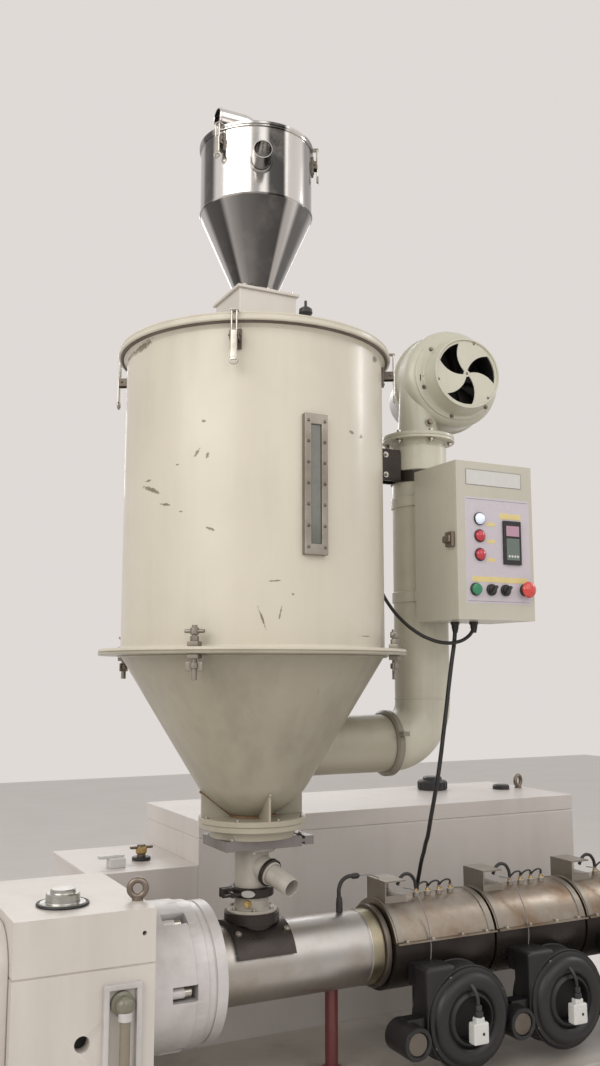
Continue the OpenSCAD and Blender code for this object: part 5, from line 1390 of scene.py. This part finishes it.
def makeOilGauge():
    x, y, z = gearbox["right"] - 0.075, gearbox["front"], gearbox["centre"] + 0.020
    front = (0, -1, 0)
    bm = bmesh.new()
    for left in (x - 0.042, x + 0.030):
        merge(bm, slab((left, y - 0.014, z - 0.180), (left + 0.012, y, z + 0.032), 0.002))
    merge(bm, slab((x - 0.042, y - 0.014, z + 0.030), (x + 0.042, y, z + 0.042), 0.002))
    dome = turned([(0, 0), (0.026, 0), (0.026, 0.010), (0.020, 0.013), (0.020, 0.028), (0.018, 0.034),
                   (0.012, 0.039), (0, 0.0405)], 40)
    move(dome, facing((x, y, z), front))
    newPiece("gaugeDome", dome, gaugeGreen)
    foot = turned([(0, 0), (0.016, 0), (0.016, 0.012), (0.012, 0.016), (0.012, 0.036), (0, 0.040)], 32)
    merge(bm, foot, facing((x, y, z - 0.165), front))
    for height in (z - 0.020, z - 0.160):
        merge(bm, bar(0.015, 0.018, 0.002, 28), shift(x, y - 0.028, height - 0.009))
    newPiece("gaugeFittings", bm, flangeSteel, replaces=["oil_sight_gauge"])
    # Dark discs in two holes of the gearbox's front: painted shade in the recesses.
    holes = bar(0.0166, 0.002, 0.0004, 36)
    move(holes, facing((gearbox["left"] + 0.151, y + 0.0325, gearbox["centre"] - 0.052), front))
    merge(holes, bar(0.0048, 0.002, 0.0004, 24),
          facing((gearbox["right"] - 0.026, y + 0.0165, gearbox["centre"] + 0.158), front))
    newPiece("gearboxHoleShade", holes, openingShadeBlack)
    glass = turned([(0, 0), (0.0115, 0), (0.0115, 0.135), (0, 0.135)], 28)
    move(glass, shift(x, y - 0.028, z - 0.155))
    newPiece("gaugeTube", glass, gaugeOil)


def makeFlangeScrews():
    screws, pocketShadeSlabs = bmesh.new(), bmesh.new()
    right, count = gearbox["right"], gearbox["flangeScrews"]
    for i in range(count):
        turn = shift(0, 0, gearbox["centre"]) @ Matrix.Rotation(math.tau / count * i, 4, "X")
        merge(screws, socketScrew(0.0105, 0.016), turn @ facing((right + 0.092, -0.152, 0), (1, 0, 0)))
        merge(screws, bar(0.0055, 0.024, 0.001, 20), turn @ facing((right + 0.062, -0.152, 0), (1, 0, 0)))
        # a dark slab on the floor of each screw pocket: painted shade in the pocket
        merge(pocketShadeSlabs, slab((right + 0.061, -0.1345, -0.0175), (right + 0.121, -0.1325, 0.0175), 0.0006), turn)
    newPiece("flangeScrews", screws, boltSteel)
    newPiece("pocketShade", pocketShadeSlabs, darkSteel)


# Drive motor with its cooling fins
motor = {"left": -1.390, "right": -0.830, "radius": 0.160, "fins": 48}


def makeMotor():
    left, right, r = motor["left"], motor["right"], motor["radius"]
    length, axis = right - left, gearbox["centre"]
    bm = turned([(0, 0.004), (r - 0.030, 0), (r - 0.012, 0.004), (r - 0.002, 0.014), (r, 0.022), (r, 0.118),
                 (r - 0.003, 0.120), (r - 0.016, 0.121), (r - 0.016, length - 0.024),
                 (r + 0.010, length - 0.024), (r + 0.012, length - 0.022), (r + 0.012, length - 0.002),
                 (r + 0.010, length), (0, length)], 96)
    for i in range(motor["fins"]):
        fin = slab((r - 0.018, -0.0015, 0.118), (r - 0.003, 0.0015, length - 0.020), 0.0008, 1)
        merge(bm, fin, aroundZ(360 / motor["fins"] * i + 3))
    move(bm, facing((left, 0, axis), (1, 0, 0)))
    for x in (left + 0.150, right - 0.110):
        merge(bm, slab((x, -r, gearbox["base"]), (x + 0.060, r, axis - 0.085), 0.006, 3))
    # terminal box and its cover
    top = axis + r + 0.068
    merge(bm, slab((left + 0.200, -0.070, top - 0.098), (left + 0.340, 0.070, top), 0.006, 3))
    merge(bm, slab((left + 0.196, -0.074, top), (left + 0.344, 0.074, top + 0.012), 0.003))
    newPiece("driveMotorBody", bm, silverPaint,
             replaces=["drive_motor", "motor_feet", "motor_terminal_box"])
    # dark slabs for the slots of the motor's fan cover: painted shade in the slots
    slots = bmesh.new()
    for count, radius in ((12, 0.05), (16, 0.085), (20, 0.118)):
        for i in range(count):
            slot = slab((radius - 0.012, -0.004, -0.0015), (radius + 0.012, 0.004, 0.003), 0.0005, 1)
            merge(slots, slot, facing((left + 0.0035, 0, axis), (-1, 0, 0), 360 / count * i))
    newPiece("motorFanSlots", slots, openingShadeBlack)


# Heated barrel: covers, terminal boxes, wiring and fans
barrel = {"centre": 1.000, "start": 0.360, "pitch": 0.325, "zoneLength": 0.317, "zones": 5, "cover": 0.118,
          "split": 1.025, "terminals": (0.130, 0.168, 0.206, 0.244)}
zoneStarts = [barrel["start"] + barrel["pitch"] * i for i in range(barrel["zones"])]
zoneMiddles = [x + barrel["zoneLength"] / 2 for x in zoneStarts]


def makeBarrel():
    axis = facing((0, 0, barrel["centre"]), (1, 0, 0))
    feed = turned([
        (0, -0.130), (0.095, -0.130), (0.095, 0.296), (0.094, 0.2975), (0.092, 0.2985), (0.092, 0.3025),
        (0.094, 0.3035), (0.095, 0.305), (0.095, 0.338), (0.093, 0.340), (0, 0.340)], 96)
    move(feed, axis)
    newPiece("feedSection", feed, barrelSteel, replaces=["feed_barrel"])
    sleeve = turned([(0.0945, 0.305), (0.0956, 0.3055), (0.0956, 0.3375), (0.0945, 0.338)], 96, closed=True)
    move(sleeve, axis)
    newPiece("tintedSleeve", sleeve, tintedSteel)
    collar = turned([
        (0, 0.340), (0.104, 0.340), (0.105, 0.342), (0.105, 0.352), (0.104, 0.354), (0.081, 0.354),
        (0.080, 0.356), (0.080, 2.035), (0, 2.035)], 96)
    move(collar, axis)
    newPiece("heatedBarrel", collar, darkSteel, replaces=["barrel_tube"])
    bands, screws = bmesh.new(), bmesh.new()
    for x in zoneStarts:
        for offset in (0.004, barrel["zoneLength"] - 0.022):
            strap = turned([(0.1182, 0), (0.1205, 0.001), (0.1205, 0.017), (0.1182, 0.018)], 96, closed=True)
            move(strap, axis @ shift(0, 0, x + offset))
            cut = bmesh.ops.bisect_plane(strap, geom=strap.verts[:] + strap.edges[:] + strap.faces[:],
                                         plane_co=(0, 0, barrel["split"] + 0.006), plane_no=(0, 0, 1),
                                         clear_inner=True)
            rim = [g for g in cut["geom_cut"] if isinstance(g, bmesh.types.BMEdge)]
            bmesh.ops.holes_fill(strap, edges=rim, sides=6)
            merge(bands, strap)
        for offset in (0.030, 0.110, 0.205, 0.285):
            for side in (-1, 1):
                seat = (x + offset, side * 0.122, barrel["split"] + 0.004)
                merge(screws, bolt(0.009), facing(seat, (0, 0, 1)))
    newPiece("coverStraps", bands, boxSteel)
    newPiece("coverScrews", screws, boltSteel)


def makeTerminals():
    posts, brass, wires, leads = bmesh.new(), bmesh.new(), [], []
    foot, top = barrel["centre"] + barrel["cover"] - 0.004, barrel["centre"] + barrel["cover"] + 0.024
    for x in zoneStarts:
        for offset in barrel["terminals"]:
            post = x + offset
            merge(posts, bar(0.009, 0.013, 0.001, 24), shift(post, -0.012, foot))
            merge(brass, hexHead(0.012, 0.006), shift(post, -0.012, foot + 0.013))
            merge(brass, bar(0.0032, 0.024, 0.0006, 16), shift(post, -0.012, foot + 0.010))
            if offset == barrel["terminals"][0]:
                leads.append([(x + 0.072, -0.008, top + 0.006), (x + 0.084, -0.010, top + 0.028),
                              (x + 0.104, -0.012, top + 0.034), (x + 0.124, -0.012, top + 0.018),
                              (post, -0.012, top - 0.006)])
            else:
                wires.append([(post - 0.038, -0.013, top - 0.004), (post - 0.028, -0.022, top + 0.009),
                              (post - 0.010, -0.022, top + 0.009), (post, -0.013, top - 0.004)])
    newPiece("terminalPosts", posts, whiteCeramic)
    newPiece("terminalNuts", brass, brassMetal)
    tubeRuns("terminalWires", wires, 0.0026)
    tubeRuns("terminalLeads", leads, 0.0048)


for make in (makeFeedStack, makeFeedClamps, makeGearboxFittings, makeOilGauge, makeFlangeScrews, makeMotor):
    make()
print("gearbox and feed dressed")
for make in (makeBarrel, makeTerminals):
    make()
print("barrel dressed")

# Cooling fans below the barrel, one for each zone
fans = {"radius": 0.125, "width": 0.090, "back": -0.126, "height": 0.850, "eye": 0.058, "rib": 0.024,
        "ribReach": 0.090, "motorX": -0.172, "motorDrop": 0.031}


def makeFans():
    shell, grille, dark = bmesh.new(), bmesh.new(), bmesh.new()
    r, w, eye, back, height = (fans[key] for key in ("radius", "width", "eye", "back", "height"))
    for x in zoneMiddles:
        at = facing((x, back, height), (0, -1, 0))
        left = x - r
        case = turned([(0, 0), (r - 0.006, 0), (r, 0.006), (r, w - 0.012), (r - 0.004, w - 0.004),
                       (r - 0.014, w), (eye + 0.012, w), (eye + 0.006, w + 0.008), (eye, w + 0.010),
                       (eye - 0.004, w + 0.004), (eye - 0.004, w - 0.030), (0, w - 0.030)], 72)
        merge(shell, case, at)
        merge(shell, bead(r, 0.003, 0.010, 72, 8), at)
        merge(shell, bead(r, 0.003, w - 0.012, 72, 8), at)
        # duct up to the cowl
        merge(shell, slab((left, back - w + 0.010, height), (left + 0.090, back - 0.010, 0.983), 0.012, 4))
        merge(shell, slab((left + 0.003, back - 0.040, 0.922), (left + 0.087, -0.110, 0.979), 0.004, 3))
        merge(shell, bead(fans["ribReach"], fans["rib"], w - 0.009, 64, 20), at)
        # small motor beside the duct
        boss = facing((x + fans["motorX"], back - 0.012, height - fans["motorDrop"]), (0, -1, 0))
        hub = turned([(0, 0), (0.038, 0), (0.041, 0.003), (0.041, w), (0.038, w + 0.006), (0.030, w + 0.007),
                      (0.028, w + 0.004), (0.028, w - 0.004), (0, w - 0.004)], 48)
        merge(shell, hub, boss)
        merge(shell, slab((x - 0.180, back - 0.070, height - 0.010),
                          (left + 0.004, back - 0.030, height + 0.016), 0.004))
        merge(grille, bar(0.0272, 0.007, 0.002, 40), boss @ shift(0, 0, w - 0.0038))
        for k in range(4):
            turn = Matrix.Rotation(math.pi / 2 * k + 0.5, 4, "Z")
            merge(grille, panScrew(0.0040), at @ turn @ shift(r - 0.006, 0, w - 0.0052))
        # dark disc on the floor of the fan's eye: painted shade
        merge(dark, bar(eye - 0.006, 0.003, 0.001, 40), at @ shift(0, 0, w - 0.031))
    newPiece("fanScrolls", shell, fanBlack, replaces=["zone_fans"])
    newPiece("fanHubs", grille, darkSteel)
    newPiece("fanEyes", dark, openingShadeBlack)


def makeConnectors():
    bodies, nuts, leads = bmesh.new(), bmesh.new(), []
    y, z = fans["back"] - fans["width"] - 0.016, fans["height"] - 0.018
    for x in zoneMiddles:
        merge(bodies, slab((x - 0.023, y - 0.028, z - 0.032), (x + 0.023, y, z + 0.020), 0.005, 3))
        merge(bodies, slab((x - 0.013, y - 0.024, z + 0.015), (x + 0.013, y - 0.004, z + 0.032), 0.004, 3))
        merge(bodies, slab((x - 0.016, y - 0.0295, z - 0.024), (x + 0.016, y - 0.026, z + 0.010), 0.002))
        merge(nuts, bar(0.0120, 0.014, 0.003, 28), shift(x, y - 0.014, z + 0.0315))
        merge(nuts, bar(0.0090, 0.016, 0.003, 24), shift(x, y - 0.014, z + 0.0445))
        merge(nuts, panScrew(0.004), facing((x + 0.004, y - 0.0294, z - 0.006), (0, -1, 0)))
        leads.append([(x, y - 0.014, z + 0.056), (x - 0.002, y - 0.012, z + 0.080),
                      (x - 0.008, y + 0.004, z + 0.104), (x - 0.024, y + 0.040, z + 0.126),
                      (x - 0.048, y + 0.082, z + 0.134)])
    newPiece("connectorBodies", bodies, whitePlastic, replaces=["fan_connectors"])
    newPiece("connectorNuts", nuts, blackPlastic)
    tubeRuns("fanLeads", leads, 0.0048)


# Bent sensor pipe on the feed section, and the thin wires that hang from the terminal boxes
sensorPipe = {"x": 0.255, "lift": 0.176, "reach": 0.315}


def makeSensorPipes():
    centre, r = barrel["centre"], barrel["cover"]
    x, reach = sensorPipe["x"], sensorPipe["reach"]
    top = centre + sensorPipe["lift"]
    pipe = [(x, 0, centre + 0.098), (x - 0.001, 0, centre + 0.130), (x + 0.002, 0, top - 0.014),
            (x + 0.018, 0, top + 0.004), (reach, 0, top + 0.007)]
    tubeRuns("sensorPipe", [pipe], 0.0055)
    wires = [[(reach - 0.002, 0, top + 0.007), (reach + 0.040, 0, top + 0.004),
              (reach + 0.065, 0.002, top - 0.006)]]
    for zone in zoneStarts:
        wires.append([(zone + 0.070, -0.041, centre + r + 0.030), (zone + 0.084, -0.070, centre + r + 0.026),
                      (zone + 0.098, -0.104, centre + r - 0.030), (zone + 0.102, -0.1225, centre + 0.020),
                      (zone + 0.101, -0.128, centre - 0.060), (zone + 0.106, -0.150, centre - 0.078),
                      (zone + 0.120, -0.205, centre - 0.096)])
    tubeRuns("sensorWires", wires, 0.0015, printGrey)
    boots, base = bmesh.new(), shift(x, 0, centre + 0.0945)
    merge(boots, hexHead(0.016, 0.010), base)
    merge(boots, turned([(0, 0.009), (0.0085, 0.009), (0.0090, 0.020), (0.0075, 0.036), (0.0056, 0.040),
                         (0, 0.040)], 24), base)
    merge(boots, turned([(0, 0), (0.0056, 0), (0.0078, 0.004), (0.0078, 0.018), (0.0036, 0.024),
                         (0, 0.024)], 24),
          facing((reach - 0.022, 0, top + 0.0068), (1, 0, 0)))
    newPiece("sensorBoots", boots, blackPlastic)


# Rear cabinets: gaps and handles of the doors, and what stands on the tops, as (x, y)
cabinetTops = {"fillCap": (1.010, 0.660), "smallCap": (1.240, 0.560), "eye": (1.318, 0.560),
               "tap": (-0.140, 0.470), "lever": (-0.236, 0.400), "capRibs": 16, "doors": 3}


def makeCabinetDetails():
    low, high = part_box("rear_cabinet")
    doors = cabinetTops["doors"]
    width, back = (high.x - low.x) / doors, high.y
    gaps, handles = bmesh.new(), bmesh.new()
    # dark strips in the gaps round the doors: painted shade
    for i in range(1, doors):
        x = low.x + width * i
        merge(gaps, slab((x - 0.0015, back - 0.001, 0.08),
                         (x + 0.0015, back + 0.0006, high.z - 0.07), 0.0004, 1))
    for z in (0.08, high.z - 0.07):
        merge(gaps, slab((low.x + 0.02, back - 0.001, z),
                         (high.x - 0.02, back + 0.0006, z + 0.003), 0.0004, 1))
    newPiece("cabinetGaps", gaps, openingShadeBlack)
    for i in range(doors):
        x = low.x + width * (i + 0.85)
        merge(handles, bar(0.014, 0.006, 0.002, 28), facing((x, back, 0.72), (0, 1, 0)))
        merge(handles, slab((x - 0.006, back + 0.004, 0.68), (x + 0.006, back + 0.009, 0.76), 0.002))
    newPiece("cabinetHandles", handles, blackPlastic)
    fillCap = shift(*cabinetTops["fillCap"], high.z)
    caps = turned([(0, 0), (0.050, 0), (0.052, 0.003), (0.052, 0.028), (0.048, 0.033), (0.036, 0.034),
                   (0.034, 0.037), (0.034, 0.043), (0.030, 0.046), (0, 0.046)], 48)
    move(caps, fillCap)
    for i in range(cabinetTops["capRibs"]):
        rib = slab((0.050, -0.003, 0.004), (0.054, 0.003, 0.028), 0.001, 1)
        merge(caps, rib, fillCap @ aroundZ(360 / cabinetTops["capRibs"] * i))
    smallCap = turned([(0, 0), (0.030, 0), (0.030, 0.012), (0.026, 0.016), (0, 0.016)], 40)
    merge(caps, smallCap, shift(*cabinetTops["smallCap"], high.z))
    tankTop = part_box("rear_tank")[1].z
    x, y = cabinetTops["tap"]
    tap = shift(x, y, tankTop)
    merge(caps, ring(0.027, 0.012, 0.010, 0.002, 36), tap)
    newPiece("cabinetCaps", caps, blackPlastic, replaces=["cabinet_fittings"])
    metal = liftingEye(0.0185, 0.007)
    move(metal, shift(*cabinetTops["eye"], high.z) @ aroundZ(20))
    merge(metal, turned([(0, 0.008), (0.012, 0.008), (0.012, 0.020), (0.009, 0.022), (0.009, 0.032),
                         (0.012, 0.034), (0.012, 0.044), (0, 0.044)], 28), tap)
    merge(metal, slab((x - 0.034, y - 0.0065, tankTop + 0.032),
                      (x + 0.034, y + 0.0065, tankTop + 0.040), 0.003))
    newPiece("tapAndEye", metal, ageingSteel)
    knob = turned([(0, 0.018), (0.014, 0.018), (0.017, 0.022), (0.017, 0.034), (0.012, 0.040), (0.006, 0.043),
                   (0, 0.043)], 8)
    move(knob, tap)
    newPiece("tapKnob", knob, brassMetal)
    x, y = cabinetTops["lever"]
    block = slab((x - 0.022, y - 0.022, tankTop), (x + 0.022, y + 0.022, tankTop + 0.026), 0.003)
    merge(block, slab((x - 0.052, y - 0.008, tankTop + 0.024),
                      (x + 0.022, y + 0.008, tankTop + 0.034), 0.003))
    newPiece("leverBlock", block, whitePlastic)


# Machine base: catches of its panels, and the bolts of the barrel's support
baseDetails = {"bays": 5, "catches": (0.18, 0.82), "supportX": 2.030, "supportHalf": 0.085}


def makeBaseDetails():
    low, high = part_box("base_panels")
    baseLow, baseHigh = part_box("base_housing")
    pitch = (baseHigh.x - baseLow.x - 0.012) / baseDetails["bays"]
    catches = bmesh.new()
    for i in range(baseDetails["bays"]):
        for share in baseDetails["catches"]:
            for z in (low.z + 0.03, high.z - 0.03):
                at = facing((baseLow.x + 0.006 + pitch * (i + share), low.y, z), (0, -1, 0))
                merge(catches, ring(0.013, 0.008, 0.003, 0.0008, 28), at)
                merge(catches, panScrew(0.008), at)
    newPiece("panelCatches", catches, boltSteel)
    bolts = bmesh.new()
    for side in (-1, 1):
        merge(bolts, bolt(0.020), shift(baseDetails["supportX"], side * baseDetails["supportHalf"], 0.7001))
    newPiece("supportBolts", bolts, boltSteel)


# Spot-faced seats of the bolt holes in the end flange
dieSeats = {"face": 2.085, "pitchRadius": 0.108, "count": 8}


def makeDie():
    bm = bmesh.new()
    x, r, count = dieSeats["face"], dieSeats["pitchRadius"], dieSeats["count"]
    for i in range(count):
        angle = math.tau * (i + 0.5) / count
        place = (x, r * math.cos(angle), barrel["centre"] + r * math.sin(angle))
        merge(bm, ring(0.0135, 0.0092, 0.002, 0.0004, 28), facing(place, (1, 0, 0)))
    newPiece("boltSeats", bm, darkSteel)


# Screws of the throat's saddle on the feed section
throatScrews = {"half": 0.066, "saddleRadius": 0.108}


def makeThroatScrews():
    bm, half = bmesh.new(), throatScrews["half"]
    for x in (-half, half):
        for y in (-half, half):
            reach = math.sqrt(throatScrews["saddleRadius"] ** 2 - y ** 2)
            out = Vector((0, y, reach)).normalized()
            merge(bm, socketScrew(0.008, 0.008), facing((x, y, barrel["centre"] + reach - 0.001), out))
    newPiece("throatScrews", bm, boltSteel)


for make in (makeFans, makeConnectors, makeSensorPipes, makeCabinetDetails, makeBaseDetails, makeDie,
             makeThroatScrews):
    make()
print("fans, cabinets and base dressed")

# Cables: the routes of part.scad, in metres
cables = {
    "sensorCable": {
        "node": "sensor_cable", "radius": 0.005, "length": 0.512,
        "route": (
            (0.345, 0.060, 2.060), (0.362, 0.050, 2.056), (0.376, 0.034, 2.034), (0.384, 0.014, 1.996),
            (0.390, -0.010, 1.952), (0.400, -0.040, 1.908), (0.416, -0.074, 1.868), (0.438, -0.108, 1.836),
            (0.466, -0.138, 1.814), (0.498, -0.160, 1.804), (0.530, -0.172, 1.806), (0.558, -0.178, 1.818),
            (0.576, -0.180, 1.836), (0.582, -0.180, 1.852), (0.582, -0.180, 1.862))},
    "supplyCable": {
        "node": "supply_cable", "radius": 0.006, "length": 1.299,
        "route": (
            (0.541, -0.150, 1.862), (0.540, -0.150, 1.835), (0.536, -0.150, 1.800), (0.528, -0.150, 1.758),
            (0.517, -0.149, 1.690), (0.507, -0.148, 1.623), (0.498, -0.145, 1.557), (0.491, -0.139, 1.491),
            (0.490, -0.125, 1.436), (0.495, -0.100, 1.381), (0.507, -0.065, 1.327), (0.521, -0.030, 1.278),
            (0.538, 0.008, 1.248), (0.557, 0.045, 1.220), (0.578, 0.088, 1.190), (0.596, 0.128, 1.148),
            (0.606, 0.160, 1.090), (0.610, 0.178, 1.010), (0.611, 0.186, 0.930), (0.612, 0.190, 0.850),
            (0.612, 0.190, 0.770), (0.612, 0.190, 0.700))},
}
for name, cable in cables.items():
    lead = tubeRuns(name, [cable["route"]], cable["radius"], replaces=[cable["node"]])
print("cables laid")


# Floor and surroundings
def makeStage():
    bm = bmesh.new()
    bmesh.ops.create_grid(bm, x_segments=1, y_segments=1, size=14.0)
    mesh = bpy.data.meshes.new("floor")
    bm.to_mesh(mesh)
    bm.free()
    floor = bpy.data.objects.new("floor", mesh)
    bpy.context.scene.collection.objects.link(floor)
    material, tree, shader, place = startMaterial("floorConcrete")
    mottle = groupNode(tree, mottleGroup, place, Scale=1.5, Low=0.3, High=0.8)
    tone = blendColour(tree, mottle.outputs["Mask"], (0.80, 0.775, 0.755), (0.75, 0.725, 0.705))
    join(tree, tone, shader.inputs["Base Color"])
    shader.inputs["Roughness"].default_value = 0.7
    setMaterial(floor, material)


def makeWorld():
    world = bpy.data.worlds.new("surroundings")
    bpy.context.scene.world = world
    world.use_nodes = True
    tree = world.node_tree
    lit = tree.nodes["Background"]
    lit.inputs["Color"].default_value = (0.78, 0.75, 0.725, 1.0)
    lit.inputs["Strength"].default_value = 0.74
    seen = addNode(tree, "ShaderNodeBackground", Strength=1.0)
    seen.inputs["Color"].default_value = (0.74, 0.70, 0.675, 1.0)
    path = addNode(tree, "ShaderNodeLightPath")
    direct = addNode(tree, "ShaderNodeMath", operation="MAXIMUM")
    link(tree, path, "Is Camera Ray", direct, 0)
    link(tree, path, "Is Transmission Ray", direct, 1)
    either = addNode(tree, "ShaderNodeMath", operation="MAXIMUM")
    link(tree, direct, "Value", either, 0)
    link(tree, path, "Is Glossy Ray", either, 1)
    mix = addNode(tree, "ShaderNodeMixShader")
    link(tree, either, "Value", mix, "Fac")
    link(tree, lit, "Background", mix, 1)
    link(tree, seen, "Background", mix, 2)
    join(tree, mix.outputs["Shader"], tree.nodes["World Output"].inputs["Surface"])


def softLamp(name, place, target, size, power, colour=(1.0, 1.0, 1.0)):
    data = bpy.data.lights.new(name, "AREA")
    data.shape = "RECTANGLE"
    data.size, data.size_y = size
    data.energy = power
    data.color = colour
    lamp = bpy.data.objects.new(name, data)
    lamp.location = place
    aim = Vector(target) - Vector(place)
    lamp.rotation_euler = aim.to_track_quat("-Z", "Y").to_euler()
    bpy.context.scene.collection.objects.link(lamp)


makeStage()
makeWorld()
softLamp("keyLamp", (-4.8, -2.4, 4.6), (0.0, 0.0, 1.8), (5.0, 4.0), 175.0, (1.0, 0.965, 0.91))
softLamp("frontLamp", (1.0, -4.8, 5.0), (0.2, 0.0, 1.6), (5.0, 5.0), 95.0, (1.0, 0.97, 0.93))
softLamp("stripLamp", (4.2, -0.8, 4.0), (0.2, 0.0, 2.2), (0.35, 1.6), 30.0)
softLamp("thinLamp", (-0.3, -5.5, 4.3), (0.0, 0.0, 2.4), (0.08, 1.7), 6.0)
softLamp("backLamp", (1.5, 4.5, 4.0), (0.2, 0.0, 1.8), (3.0, 2.0), 60.0)
print("stage lit")

bpy.context.scene.view_settings.view_transform = "Standard"
